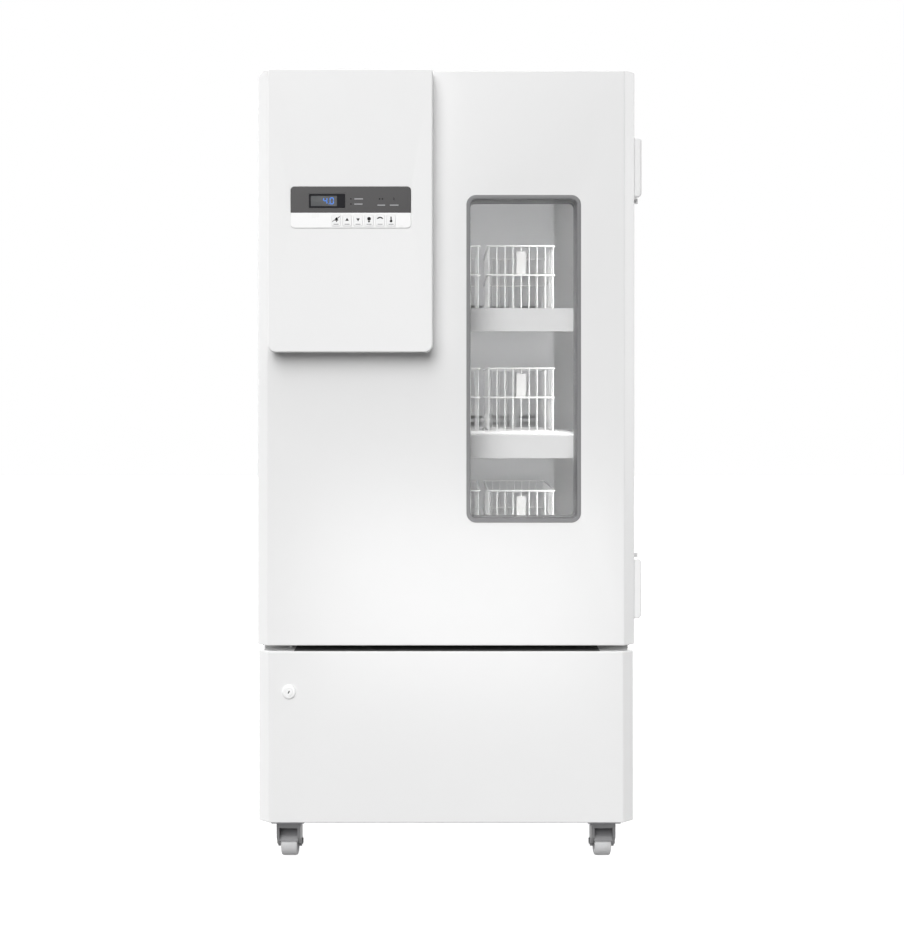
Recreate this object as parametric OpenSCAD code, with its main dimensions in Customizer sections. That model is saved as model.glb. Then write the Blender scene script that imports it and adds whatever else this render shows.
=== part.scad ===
// Blood bank refrigerator: one glazed door, wire baskets on three shelves, four castors.
// Millimetres. X to the viewer's right, Y towards the back, Z up, the floor at zero.

/* [Overall] */
// Width of the door
door_w = 800; // [760:5:860]
// Height of the door
door_h = 1214; // [1180:2:1260]
// Thickness of the door
door_d = 85; // [80:1:95]
// Depth from the door's face to the back of the cabinet
body_d = 720; // [690:5:800]
// Height of the base panel below the door
base_h = 362; // [340:2:400]
// Gap between the base panel and the door
door_gap = 12; // [10:1:14]
// Gap between the door's back and the cabinet, filled by the gasket
gasket_gap = 10; // [9:0.5:12]
// How far the base panel stands in from the door's side
base_step = 2.5; // [1:0.5:5]
// How far the cabinet shell stands in from the door's side
cab_step = 5; // [3.5:0.5:8]
// How far the cabinet's top lies under the door's top
top_step = 2; // [0:0.5:6]
// Chamfer of the door's upright edges, across the face
cham_x = 23.5; // [10:0.5:30]
// Chamfer of the door's upright edges, along the side
cham_y = 21; // [10:0.5:30]
// Radius of the door's upper left corner
top_corner_r = 18; // [4:1:30]

/* [Walls] */
// Thickness of the steel sheet
sheet = 1.5; // [1:0.1:2]
// Thickness of the moulded liners
liner_t = 2.5; // [1.5:0.1:4]
// Thickness of the insulated side walls and the back wall
wall_d = 65; // [55:1:80]
// Thickness of the insulated roof
roof_d = 65; // [55:1:80]
// Thickness of the insulated floor
floor_d = 70; // [55:1:80]
// Height of the machine room's ceiling above the door's lower edge
room_rise = 28; // [20:1:40]
// Depth of the frame around the chamber's mouth
breaker_d = 8; // [5:0.5:12]
// Height of the dike on the door's liner
dike_h = 12; // [4:0.5:13]
// Width of that dike
dike_w = 24; // [10:1:40]
// Gap between the dike and the chamber's walls
dike_gap = 8; // [6:0.5:16]
// Clearance between pieces that are fitted together
fit = 0.3; // [0.2:0.05:0.4]
// Radial clearance of a shaft in its bore
run_fit = 0.05; // [0.02:0.01:0.08]

/* [Window] */
// Width of the glazed opening
sight_w = 225; // [190:1:240]
// Height of the glazed opening
sight_h = 674.5; // [600:0.5:700]
// Distance from the door's right side to the glazed opening
sight_right = 123.5; // [110:0.5:135]
// Distance from the door's lower edge to the glazed opening
sight_low = 268.5; // [240:0.5:300]
// Corner radius of the glazed opening
sight_r = 12; // [6:0.5:20]
// Width of the trim's face around the opening
trim_face = 8.5; // [7:0.5:12]
// How far the trim stands out of the door
trim_out = 1.5; // [0.5:0.1:3]
// Thickness of the trim's tube
trim_t = 2; // [1.5:0.1:2.4]
// Width of the seat that holds the panes
pane_seat = 3.7; // [3:0.1:4.5]
// Depth of the front pane behind the door's face
pane_in = 6; // [4:0.5:10]
// Thickness of a pane
pane_t = 5; // [4:0.5:6]
// Depth of the spacer between the panes
spacer_d = 40; // [20:1:44]

/* [Control box] */
// Width of the control box
box_w = 344; // [320:1:360]
// Height of the control box
box_h = 592; // [540:1:620]
// How far the control box stands out of the door
box_out = 38.5; // [30:0.5:45]
// Distance from the door's left side to the control box
box_left = 28; // [20:1:40]
// Distance from the door's top to the control box
box_down = 4; // [2:1:40]
// Radius of the control box's lower corners
box_r = 17; // [6:1:25]
// Radius of the control box's upper corners
box_top_r = 5; // [2:1:12]
// Wall of the control box
box_t = 3; // [2:0.1:4]
// Depth of the finger space under the control box
grip_h = 42; // [30:1:60]
// Width of the display fascia
fascia_w = 251; // [240:1:270]
// Height of the display fascia
fascia_h = 86.5; // [80:0.5:100]
// Distance from the control box's left side to the fascia
fascia_left = 48; // [30:1:60]
// Distance from the control box's top to the fascia
fascia_down = 246; // [200:1:280]
// How far the fascia stands out of the control box
fascia_out = 1.5; // [0.5:0.1:3]
// Height of the light band that holds the keys
key_band_h = 31.5; // [28:0.5:36]
// Corner radius of the fascia
fascia_r = 8; // [3:0.5:12]
// Width of the display panel
lcd_w = 75; // [60:1:90]
// Height of the display panel
lcd_h = 29; // [22:0.5:34]
// Distance from the fascia's left side to the display panel
lcd_left = 38.6; // [30:0.1:50]
// Distance from the fascia's top to the display panel
lcd_down = 15.6; // [12:0.1:18]
// Distance from the fascia's left side to the middle of the first key
key_first = 94.9; // [90:0.1:100]
// Distance from key to key
key_pitch = 22.92; // [22:0.02:24]
// Width of a key
key_w = 18.5; // [16:0.1:19.5]
// Height of a key
key_h = 24; // [20:0.5:26]
// How far a key is pressed
key_travel = 0.8; // [0.5:0.1:1]
// How far a key stands out of the fascia
key_out = 1; // [0.8:0.1:1.5]

/* [Hinges] */
// Length of a hinge with its bracket's two ears
hinge_h = 140.6; // [122:0.2:160]
// Distance from the door's side to the hinge pin
hinge_off = 7.5; // [7.5:0.1:9]
// Radius of the hinge knuckle
hinge_r = 8.5; // [8:0.1:9]
// Radius of the hinge pin
hinge_pin_r = 4; // [3:0.1:5]
// Height of the lower hinge above the door's lower edge
hinge_low = 46.7; // [34:0.1:80]
// Distance from the door's top down to the upper hinge
hinge_down = 129.7; // [112:0.1:160]
// Thickness of the hinge plates
hinge_t = 3; // [2:0.1:3.4]
// Height of each ear of a hinge bracket
ear_h = 6; // [5:0.5:8]
// Distance from the door's chamfer back to the cast cover of a hinge leaf
leaf_cover_in = 4; // [0:0.5:20]
// Radius of that cover's outer corners
leaf_cover_r = 9; // [3:0.5:12]

/* [Lock] */
// Distance from the door's left side to the lock and its bolt
lock_left = 68.5; // [60:0.5:80]
// Distance from the base panel's top to the lock
lock_down = 85.4; // [80:0.1:95]
// Radius of the lock's round face
lock_face_r = 15; // [13:0.5:18]
// Radius of the lock's body
lock_body_r = 11; // [10:0.1:12]
// Radius of the key plug
plug_r = 8; // [6:0.1:8.5]
// Depth of the lock's body behind the panel
lock_d = 40; // [30:1:46]
// Travel of the bolt for a quarter turn of the key
bolt_travel = 14; // [10:1:16]
// Radius of the bolt
bolt_r = 3; // [2.5:0.1:4]
// Gap between the drawn-back bolt and the door
bolt_clear = 0.5; // [0.3:0.1:1]

/* [Castors] */
// Height of a castor
castor_h = 88; // [84:1:96]
// Radius of a castor wheel
wheel_r = 30; // [27:0.5:31]
// Width of a castor wheel
wheel_w = 36; // [30:0.5:38]
// Width of a castor fork
fork_w = 51; // [48:0.5:56]
// Distance from the base panel's side to the middle of a castor
castor_side = 62; // [53:0.5:87]
// Distance from the door's face to the front castors
castor_front = 50; // [45:1:70]
// Distance from the cabinet's back to the rear castors
castor_back = 60; // [50:1:90]
// Distance from the swivel to the wheel's axle
trail = 20; // [12:1:24]
// Radius of a castor's axle
axle_r = 4; // [3:0.1:5]
// Radius of the swivel pin
swivel_r = 6; // [5:0.1:8]
// Width of a castor's square plate
plate_w = 70; // [62:1:80]
// Thickness of a castor's plate
plate_t = 6; // [4:0.5:7]

/* [Shelves] */
// Distance from shelf to shelf
shelf_pitch = 277; // [260:1:284]
// Height of the lowest shelf above the chamber's floor
shelf_first = 66.2; // [60:0.2:90]
// Height of a shelf's front lip
lip_h = 50; // [30:1:55]
// Distance from the chamber's mouth to the shelf lip
lip_in = 10; // [9:0.5:30]
// Gap between a shelf and the chamber's side wall
shelf_side = 8; // [7.5:0.5:12]
// Gap between a shelf and the air duct
shelf_back = 10; // [5:1:30]
// Distance from a shelf's lip to the bar that stops the baskets
stop_in = 121; // [80:1:130]
// Height of that bar
stop_h = 5.4; // [3:0.1:8]
// Width of a basket
basket_w = 156; // [130:1:160]
// Distance from the baskets' stop to a shelf's back
basket_rear = 18.4; // [8:0.2:60]
// Distance from basket to basket
basket_pitch = 170; // [165:1:178]
// Height of a basket's top rail above its shelf
rail_z = 147.5; // [120:0.5:160]
// Height of a basket's middle rail above its shelf
mid_z = 81.5; // [60:0.5:100]
// Thickness of a basket's rails
rail_d = 4.6; // [4:0.1:6]
// Thickness of a basket's wires
wire_d = 3.2; // [2.4:0.1:3.6]
// Number of upright wires at a basket's front
front_n = 9; // [7:1:10]
// Number of upright wires at a basket's side
side_n = 7; // [5:1:10]
// Number of cross wires under a basket
cross_n = 4; // [3:1:6]
// Width of a basket's label plate
label_w = 20.5; // [14:0.5:30]
// Height of a basket's label plate
label_h = 51.6; // [30:0.1:55]
// Side of a shelf upright's section
upright_w = 15; // [12:0.5:20]
// Thickness of a shelf upright
upright_t = 6; // [5:0.5:7]

/* [Cooling] */
// Height of the evaporator cover
evap_h = 134; // [110:1:140]
// Distance from the chamber's side to the evaporator cover
evap_side = 30; // [20:1:80]
// Distance from the chamber's mouth to the evaporator cover
evap_in = 95; // [80:1:110]
// Distance from the chamber's side to the air duct
duct_side = 57; // [45:1:90]
// Depth of the air duct
duct_d = 30; // [20:1:36]
// Height of the air duct above the chamber's floor
duct_low = 20; // [10:1:60]
// Radius of the condenser fan
fan_r = 100; // [80:1:110]
// Radius of the evaporator fan
evap_fan_r = 48; // [38:1:52]
// Radius of the compressor's shell
comp_r = 78; // [60:1:90]
// Height of the compressor's shell
comp_h = 170; // [140:1:200]
// Height of the compressor's rubber mounts
mount_h = 14; // [10:1:20]
// Width of the condenser
cond_w = 260; // [240:2:290]
// Height of the condenser
cond_h = 240; // [232:2:270]
// Depth of the condenser
cond_d = 44; // [30:1:60]
// Number of condenser fins
fin_n = 22; // [12:1:30]
// Radius of the refrigerant pipes
pipe_r = 4; // [3:0.1:5]

/* [Back and ports] */
// Thickness of the rear cover
cover_t = 1.5; // [1:0.1:2]
// Distance from the cabinet's side to the rear cover
cover_side = 45; // [35:1:75]
// Height of the rear cover
cover_h = 360; // [320:2:370]
// Number of louvre rows
louvre_rows = 11; // [6:1:12]
// Number of louvre columns
louvre_cols = 3; // [2:1:4]
// Length of a louvre
louvre_w = 170; // [100:1:180]
// Height of a louvre
louvre_h = 14; // [8:0.5:18]
// How far a louvre stands out
louvre_out = 6; // [4:0.5:9]
// Bore radius of the access port
port_r = 12; // [8:0.5:16]
// Wall of the access port's sleeve
port_t = 3; // [2:0.1:5]
// Flange of the access port beyond its sleeve
port_flange = 7; // [4:0.5:12]
// Height of the access port above the chamber's floor
port_up = 850; // [800:5:880]
// Distance from the chamber's mouth to the access port
port_in = 330; // [310:5:350]
// Width of the mains inlet
inlet_w = 48; // [48:0.5:60]
// Height of the mains inlet
inlet_h = 27; // [24:0.5:32]
// Radius of a screw's head
screw_head_r = 4; // [3:0.1:5]
// Radius of a screw's shank
screw_r = 2; // [1.5:0.1:2.5]

/* [Hidden] */
$fn = 64;
eps = 1;

// Depth levels, front to back
total_d = box_out + fascia_out + body_d + cover_t + louvre_out;
y_door = box_out + fascia_out - total_d / 2;
y_box = y_door - box_out;
y_fascia = y_box - fascia_out;
y_door_back = y_door + door_d;
y_cab = y_door_back + gasket_gap;
y_mouth = y_cab + breaker_d;
y_back = y_door + body_d;
y_chamber = y_back - wall_d;
y_duct = y_chamber - duct_d;

// Heights
z_base = castor_h;
z_base_top = z_base + base_h;
z_door = z_base_top + door_gap;
z_door_top = z_door + door_h;
z_top = z_door_top - top_step;
z_room = z_door + room_rise;
z_floor = z_room + floor_d;
z_ceiling = z_top - roof_d;
z_evap = z_ceiling - evap_h;
z_duct = z_floor + duct_low;

// Widths and half widths
base_w = door_w - 2 * base_step;
cab_w = door_w - 2 * cab_step;
cab_in = cab_w / 2 - sheet;
chamber_x = cab_w / 2 - wall_d;
liner_x = chamber_x + liner_t;
chassis_t = 3;
evap_w = 2 * (chamber_x - evap_side);
duct_w = 2 * (chamber_x - duct_side);
cover_w = cab_w - 2 * cover_side;

// Window
sight_x = door_w / 2 - sight_right - sight_w / 2;
sight_z = z_door + sight_low + sight_h / 2;
tube_in = pane_seat + fit;
tube_out = tube_in + trim_t;
y_pane_1 = y_door + pane_in;
y_spacer = y_pane_1 + pane_t;
y_pane_2 = y_spacer + spacer_d;
y_retainer = y_pane_2 + pane_t;

// Control box and fascia
box_x = -door_w / 2 + box_left;
box_z = z_door_top - box_down - box_h;
fascia_x = box_x + fascia_left;
fascia_z = box_z + box_h - fascia_down - fascia_h;
fascia_rim = 4;
fascia_rim_t = 2;
y_fascia_back = y_box + box_t + fascia_rim_t;
lcd_x = fascia_x + lcd_left;
lcd_z = fascia_z + fascia_h - lcd_down - lcd_h;
key_x = fascia_x + key_first;
key_z = fascia_z + key_band_h / 2;
key_r = 3;
key_rim = 1.5;
key_rim_t = 1.2;
lamp_r = 1.5;
lamp_x = lcd_x + lcd_w + 12;
lamp_zs = [lcd_z + lcd_h / 2 + 4, lcd_z + lcd_h / 2 - 7];
post_in = 8;
post_r = 3;
board_in = 2;
board_t = 1.6;

// Hinges
hinge_x = door_w / 2 + hinge_off;
hinge_y = y_door_back + gasket_gap / 2;
hinge_zs = [z_door + hinge_low, z_door_top - hinge_down - hinge_h];
bracket_y = 55;

// Lock
lock_x = -door_w / 2 + lock_left;
lock_z = z_base_top - lock_down;
lock_face_t = 3;
y_plug_back = y_door + lock_d;
crank_r = bolt_travel / sqrt(2);
crank_t = 4;
crank_pin_r = 2;
crank_pin_l = 6;
yoke_t = 4;
yoke_wall = 4;
yoke_slack = 0.6;
bolt_y = y_plug_back + crank_t + fit + yoke_t;
bolt_top = z_door - bolt_clear;
socket_r = bolt_r + 1.5;
socket_h = bolt_travel + 4;
guide_r = bolt_r + fit;

// Castors
castor_x = base_w / 2 - castor_side;
y_castor_front = y_door + castor_front;
y_castor_back = y_back - castor_back;
crown_t = 9;
ring_h = 3;
ring_r = 20;
z_crown = castor_h - plate_t - ring_h - fit - crown_t;
swivel_head = 3;
hub_gap = 1;
leg_t = (fork_w - wheel_w) / 2 - hub_gap;
leg_foot_r = 11;
axle_head = 2.5;
castor_xy = [
  [-castor_x, y_castor_front], [castor_x, y_castor_front],
  [-castor_x, y_castor_back], [castor_x, y_castor_back]
];

// Shelves and baskets
shelf_x = chamber_x - shelf_side;
y_lip = y_cab + lip_in;
y_shelf_back = y_duct - shelf_back;
y_stop = y_lip + stop_in;
shelf_n = 3;
deck_t = 1.5;
side_h = 20;
z_shelf = [for (i = [0 : shelf_n - 1]) z_floor + shelf_first + i * shelf_pitch];
stop_t = 5;
basket_l = y_shelf_back - basket_rear - y_stop - 2 * (stop_t + fit);
y_basket = y_stop + stop_t + fit + basket_l / 2;
stop_x = basket_pitch + basket_w / 2 + fit + stop_t;
upright_front = 110;
upright_rear = 100;
upright_ys = [y_lip + upright_front, y_shelf_back - upright_rear];
upright_web = 1.5;
upright_pitch = shelf_pitch / 8;
slot_h = 12;
slot_w = 6;
hook_w = slot_w - 2 * fit;
hook_h = slot_h - 2 * fit;
label_t = 1.2;
mat_gap = 0.1;

// Access port
port_z = z_floor + port_up;
port_y = y_mouth + port_in;
port_out_r = port_r + port_t;
port_hole_r = port_out_r + fit;
flange_t = 3;

// Machine room
room_floor = z_base + chassis_t;
unit_side = 205;
comp_back = 190;
comp_x = cab_w / 2 - unit_side;
comp_y = y_back - comp_back;
comp_base_t = 3;
comp_base_w = 220;
comp_base_d = 150;
term_w = 60;
term_low = 40;
term_h = 60;
term_out = 18;
cond_back = 70;
cond_x = -comp_x;
cond_y = y_back - cond_back;
fan_frame_d = 30;
fan_gap = 2;
fan_y = cond_y - cond_d / 2 - fan_gap - fan_frame_d / 2;
cond_lift = 4;
cond_z = room_floor + cond_h / 2 + cond_lift;
coil_side = 80;
evap_fan_d = 26;
evap_fan_back = 127;
evap_fan_y = y_duct - evap_fan_back;
evap_fan_z = z_evap + evap_h / 2;

// Rectangle by two corners
module rect(x0, z0, x1, z1) translate([x0, z0]) square([x1 - x0, z1 - z0]);

// Box by two corners
module block(a, b) translate(a) cube(b - a);

// Rectangle centred on the origin with round corners
module round_rect(w, h, r) {
  square([w - 2 * r, h], center = true);
  square([w, h - 2 * r], center = true);
  for (x = [-1, 1], z = [-1, 1]) translate([x * (w / 2 - r), z * (h / 2 - r)]) circle(r);
}

// Extrudes an X-Z outline from one depth to another
module from_to(y0, y1) translate([0, y1, 0]) rotate([90, 0, 0]) linear_extrude(y1 - y0) children();

// Rod along Y from one depth to another
module rod_y(x, z, r, y0, y1) translate([x, y1, z]) rotate([90, 0, 0]) cylinder(r = r, h = y1 - y0);

// Rod along X from one side to another
module rod_x(y, z, r, x0, x1) translate([x0, y, z]) rotate([0, 90, 0]) cylinder(r = r, h = x1 - x0);

// New size of a chamfer's one side when both walls move in by t
function cham(a, b, t) = a + t * (norm([a, b]) - a - b) / b;

// Plan outline with chamfered front corners, set in by t on the front and the sides
module plan(w, d, t) {
  cx = cham(cham_x, cham_y, t);
  cy = cham(cham_y, cham_x, t);
  h = w / 2 - t;
  polygon([[-h, d], [-h, t + cy], [-h + cx, t], [h - cx, t], [h, t + cy], [h, d]]);
}

// Outline of the glazed opening grown by g
module sight(g) translate([sight_x, sight_z]) round_rect(sight_w + 2 * g, sight_h + 2 * g, sight_r + g);

// The door's outer form set in by t, open-ended at the back by extra
module door_form(t, extra) {
  intersection() {
    translate([0, y_door, z_door + t]) linear_extrude(door_h - 2 * t) plan(door_w, door_d + extra, t);
    from_to(y_door, y_door_back + extra) difference() {
      rect(-door_w / 2, z_door, door_w / 2, z_door_top);
      translate([-door_w / 2, z_door_top - top_corner_r]) difference() {
        translate([-eps, 0]) square([top_corner_r + eps, top_corner_r + eps]);
        translate([top_corner_r, 0]) circle(top_corner_r - t);
      }
    }
  }
}

// Places of the rear cover's screws
cover_z = z_base + 10;
cover_edge = 8;
screw_xz = [for (x = [-1, 0, 1], z = [0, 0.5, 1]) if (x != 0 || z != 0.5)
  [x * (cover_w / 2 - cover_edge), cover_z + cover_edge + z * (cover_h - 2 * cover_edge)]];
screw_hole_r = screw_r + fit;
cover_lap = 14;
panel_lap = 15;

module cabinet_shell() color("white") difference() {
  block([-cab_w / 2, y_cab, z_base], [cab_w / 2, y_back, z_top]);
  block([-cab_in, y_cab - eps, z_room], [cab_in, y_back - sheet, z_top - sheet]);
  block([-cab_in, y_cab + sheet, z_base - eps], [cab_in, y_back - sheet, z_room - sheet]);
  block([-cab_in, y_cab - eps, z_base - eps], [cab_in, y_cab + sheet + eps, z_base_top]);
  block([-cover_w / 2 + cover_lap, y_back - sheet - eps, cover_z + cover_lap],
    [cover_w / 2 - cover_lap, y_back + eps, cover_z + cover_h - cover_lap]);
  rod_x(port_y, port_z, port_hole_r, -cab_w / 2 - eps, -cab_in + eps);
  for (p = screw_xz) rod_y(p.x, p.y, screw_hole_r, y_back - sheet - eps, y_back + eps);
}

module cabinet_foam() color("khaki") difference() {
  block([-cab_in, y_mouth, z_room], [cab_in, y_back - sheet, z_top - sheet]);
  block([-liner_x, y_mouth - eps, z_floor - liner_t], [liner_x, y_chamber + liner_t, z_ceiling + liner_t]);
  rod_x(port_y, port_z, port_hole_r, -cab_in - eps, -liner_x + eps);
}

module inner_liner() color("gainsboro") difference() {
  block([-liner_x, y_mouth, z_floor - liner_t], [liner_x, y_chamber + liner_t, z_ceiling + liner_t]);
  block([-chamber_x, y_mouth - eps, z_floor], [chamber_x, y_chamber, z_ceiling]);
  rod_x(port_y, port_z, port_hole_r, -liner_x - eps, -chamber_x + eps);
}

module breaker_frame() color("whitesmoke") difference() {
  block([-cab_in, y_cab, z_room], [cab_in, y_mouth, z_top - sheet]);
  block([-chamber_x, y_cab - eps, z_floor], [chamber_x, y_mouth + eps, z_ceiling]);
}

module base_front_panel() color("white") {
  d = door_d + gasket_gap;
  difference() {
    translate([0, y_door, z_base]) linear_extrude(base_h) plan(base_w, d, 0);
    translate([0, y_door, z_base - eps]) linear_extrude(base_h + eps - sheet) plan(base_w, d - sheet, sheet);
    block([-base_w / 2 + panel_lap, y_cab - sheet - eps, z_base - eps],
      [base_w / 2 - panel_lap, y_cab + eps, z_base_top - panel_lap]);
    rod_y(lock_x, lock_z, lock_body_r + fit, y_door - eps, y_door + sheet + eps);
    translate([lock_x, bolt_y, z_base_top - sheet - eps]) cylinder(r = guide_r, h = sheet + 2 * eps);
  }
}

// Folded floor of the machine room, cut to fit inside the base panel and the shell
module base_chassis() color("dimgray") {
  lap_x = base_w / 2 - panel_lap - fit;
  y_in = y_cab + sheet + fit;
  y_end = y_back - sheet - fit;
  fold_h = 30;
  y_front = y_door + sheet + fit;
  front_x = base_w / 2 - cham_x - 2 * sheet;
  translate([0, y_door, z_base]) linear_extrude(chassis_t)
    plan(base_w, door_d + gasket_gap - sheet - fit, sheet + fit);
  block([-lap_x, y_cab - sheet - fit - eps, z_base], [lap_x, y_in + eps, z_base + chassis_t]);
  block([-cab_in + fit, y_in, z_base], [cab_in - fit, y_end, z_base + chassis_t]);
  for (s = [-1, 1])
    translate([s * (cab_in - fit - chassis_t / 2), (y_in + y_end) / 2, z_base + fold_h / 2])
      cube([chassis_t, y_end - y_in, fold_h], center = true);
  block([-front_x, y_front, z_base], [front_x, y_front + chassis_t, z_base + fold_h]);
}

// Outline of one louvre hood, set in by t, as depth and height
module hood(t, low) polygon([
  [-low, -low], [louvre_out - t, -low], [louvre_out - t, louvre_h * 0.45], [-low, louvre_h - t * 1.6 + low]
]);

module rear_cover() color("whitesmoke") {
  y1 = y_back + cover_t;
  step_x = (cover_w - 2 * cover_lap) / louvre_cols;
  low_gap = 62;
  step_z = (cover_h - low_gap - 2 * cover_lap) / louvre_rows;
  spots = [for (i = [0 : louvre_cols - 1], j = [0 : louvre_rows - 1])
    [-cover_w / 2 + cover_lap + (i + 0.5) * step_x, cover_z + low_gap + cover_lap + j * step_z]];
  difference() {
    union() {
      block([-cover_w / 2, y_back, cover_z], [cover_w / 2, y1, cover_z + cover_h]);
      for (p = spots) translate([p.x - louvre_w / 2, y1, p.y])
        rotate([90, 0, 90]) linear_extrude(louvre_w) hood(0, 0);
    }
    for (p = spots) translate([p.x - louvre_w / 2 + cover_t, y1, p.y])
      rotate([90, 0, 90]) linear_extrude(louvre_w - 2 * cover_t) hood(cover_t, cover_t + eps);
    for (p = screw_xz) rod_y(p.x, p.y, screw_hole_r, y_back - eps, y1 + eps);
    from_to(y_back - eps, y1 + eps) inlet_body(fit);
  }
}

module cover_screws() color("silver") for (p = screw_xz) {
  rod_y(p.x, p.y, screw_head_r, y_back + cover_t, y_back + cover_t + 2.4);
  rod_y(p.x, p.y, screw_r, y_back - 10, y_back + cover_t + eps);
}

// Mains inlet: flange, body, and a socket with three blades
inlet_x = cover_w / 2 - 60;
inlet_z = cover_z + 38;
inlet_body_w = inlet_w - 20;
inlet_body_h = inlet_h - 6;
module inlet_body(g) translate([inlet_x, inlet_z])
  square([inlet_body_w + 2 * g, inlet_body_h + 2 * g], center = true);
module power_inlet() color("dimgray") {
  y0 = y_back - 22;
  y1 = y_back + cover_t;
  socket = 16;
  difference() {
    union() {
      from_to(y0, y1 + eps) inlet_body(0);
      from_to(y1, y1 + 3) translate([inlet_x, inlet_z]) round_rect(inlet_w, inlet_h, 4);
    }
    from_to(y1 + 3 - socket, y1 + 3 + eps) inlet_body(-2);
  }
  for (p = [[-7, -2], [0, 3], [7, -2]])
    from_to(y1 + 2 - socket, y1 - 1) translate([inlet_x + p.x, inlet_z + p.y]) square([2, 4], center = true);
}

module compressor() color("dimgray") {
  z0 = room_floor + mount_h;
  z1 = z0 + comp_base_t;
  translate([comp_x, comp_y, z0 + comp_base_t / 2])
    cube([comp_base_w, comp_base_d, comp_base_t], center = true);
  translate([comp_x, comp_y, z1]) rotate_extrude() intersection() {
    translate([0, comp_h / 2]) round_rect(2 * comp_r, comp_h, comp_r * 0.55);
    rect(0, -eps, comp_r + eps, comp_h + eps);
  }
  translate([comp_x, comp_y, z1 + comp_h * 0.48]) cylinder(r = comp_r + 2, h = 5);
  translate([comp_x, comp_y, z1]) cylinder(r = comp_r * 0.6, h = comp_h * 0.3);
  block([comp_x - term_w / 2, comp_y - comp_r - term_out, z1 + term_low],
    [comp_x + term_w / 2, comp_y - comp_r * 0.8, z1 + term_low + term_h]);
  rod_x(comp_y, pipe_z, pipe_r + 1.5, comp_x - comp_r - stub_l, comp_x - comp_r * 0.7);
  translate([comp_x, comp_y, z1 + comp_h - 4]) cylinder(r = pipe_r + 1.5, h = stub_l + 4);
}

stub_l = 12;
comp_top = room_floor + mount_h + comp_base_t + comp_h;
pipe_z = room_floor + mount_h + comp_base_t + comp_h * 0.68;

module compressor_mounts() color("black")
  for (x = [-1, 1], y = [-1, 1])
    translate([comp_x + x * (comp_base_w / 2 - 18), comp_y + y * (comp_base_d / 2 - 18), room_floor]) {
      cylinder(r = 14, h = mount_h * 0.7);
      cylinder(r = 10, h = mount_h);
    }

// Finned block: plates along X on rows of tubes, between two end plates that reach to z_end
module fin_block(x, y, z, w, d, h, n, z_end) {
  fin_t = 1;
  end_t = 2;
  rows = 5;
  for (i = [1 : n - 2])
    translate([x - w / 2 + w * i / (n - 1), y, z]) cube([fin_t, d, h], center = true);
  for (s = [-1, 1]) {
    z_a = min(z - h / 2, z_end);
    z_b = max(z + h / 2, z_end);
    translate([x + s * (w / 2 - end_t / 2), y, (z_a + z_b) / 2]) cube([end_t, d, z_b - z_a], center = true);
  }
  for (j = [0 : rows - 1], t = [-1, 1])
    rod_x(y + t * d / 4, z - h / 2 + h * (j + 0.5) / rows, 4, x - w / 2, x + w / 2);
}

module condenser() color("darkgray")
  fin_block(cond_x, cond_y, cond_z, cond_w, cond_d, cond_h, fin_n, room_floor);

// Motor with its shaft and four arms, behind a fan that blows along Y
module fan_motor(x, y, z, r, d) {
  motor_r = r * 0.24;
  arm_t = 6;
  arm_w = 7;
  arm_root = motor_r - 3;
  y_arm = y + d / 2 - arm_t;
  rod_y(x, z, motor_r, y_arm - 2, y + d / 2 + r * 0.3);
  rod_y(x, z, shaft_r, y - d / 2 + 4, y_arm);
  for (a = [45 : 90 : 315]) translate([x, y_arm, z]) rotate([0, a, 0])
    translate([arm_root, 0, -arm_w / 2]) cube([r + tip_gap + 2 - arm_root, arm_t - 0.5, arm_w]);
}

shaft_r = 3;
tip_gap = 4;

module fan_rotor(x, y, z, r, d) {
  hub_r = r * 0.25;
  hub_d = d - 12;
  y0 = y - d / 2 + 3;
  pitch = 24;
  blade_t = 2;
  chord = (hub_d - blade_t) / sin(pitch);
  difference() {
    union() {
      rod_y(x, z, hub_r, y0, y0 + hub_d);
      intersection() {
        rod_y(x, z, r, y0, y0 + hub_d);
        for (i = [0 : 4]) translate([x, y0 + hub_d / 2, z]) rotate([0, i * 72, 0])
          rotate([-pitch, 0, 0]) translate([hub_r - 4, -blade_t / 2, -chord / 2]) cube([r, blade_t, chord]);
      }
    }
    rod_y(x, z, shaft_r + run_fit, y0 - eps, y0 + hub_d + eps);
  }
}

module condenser_fan_frame() color("black") {
  half = fan_r + 12;
  difference() {
    block([cond_x - half, fan_y - fan_frame_d / 2, room_floor],
      [cond_x + half, fan_y + fan_frame_d / 2, cond_z + half]);
    rod_y(cond_x, cond_z, fan_r + tip_gap, fan_y - fan_frame_d, fan_y + fan_frame_d);
  }
  translate([0, 2 * fan_y, 0]) mirror([0, 1, 0])
    fan_motor(cond_x, fan_y, cond_z, fan_r, fan_frame_d);
}

module condenser_fan() color("gray")
  translate([0, 2 * fan_y, 0]) mirror([0, 1, 0]) fan_rotor(cond_x, fan_y, cond_z, fan_r, fan_frame_d);

// Pipe along straight legs, with a brazed joint at each bend
module pipe(p) {
  for (i = [0 : len(p) - 2]) {
    v = p[i + 1] - p[i];
    translate(p[i]) rotate(v.x != 0 ? [0, 90 * sign(v.x), 0] : v.y != 0 ? [-90 * sign(v.y), 0, 0] : [0, 0, 0])
      cylinder(r = pipe_r, h = norm(v));
  }
  for (i = [1 : 1 : len(p) - 2]) translate(p[i]) sphere(r = pipe_r * 1.2);
}

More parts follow.
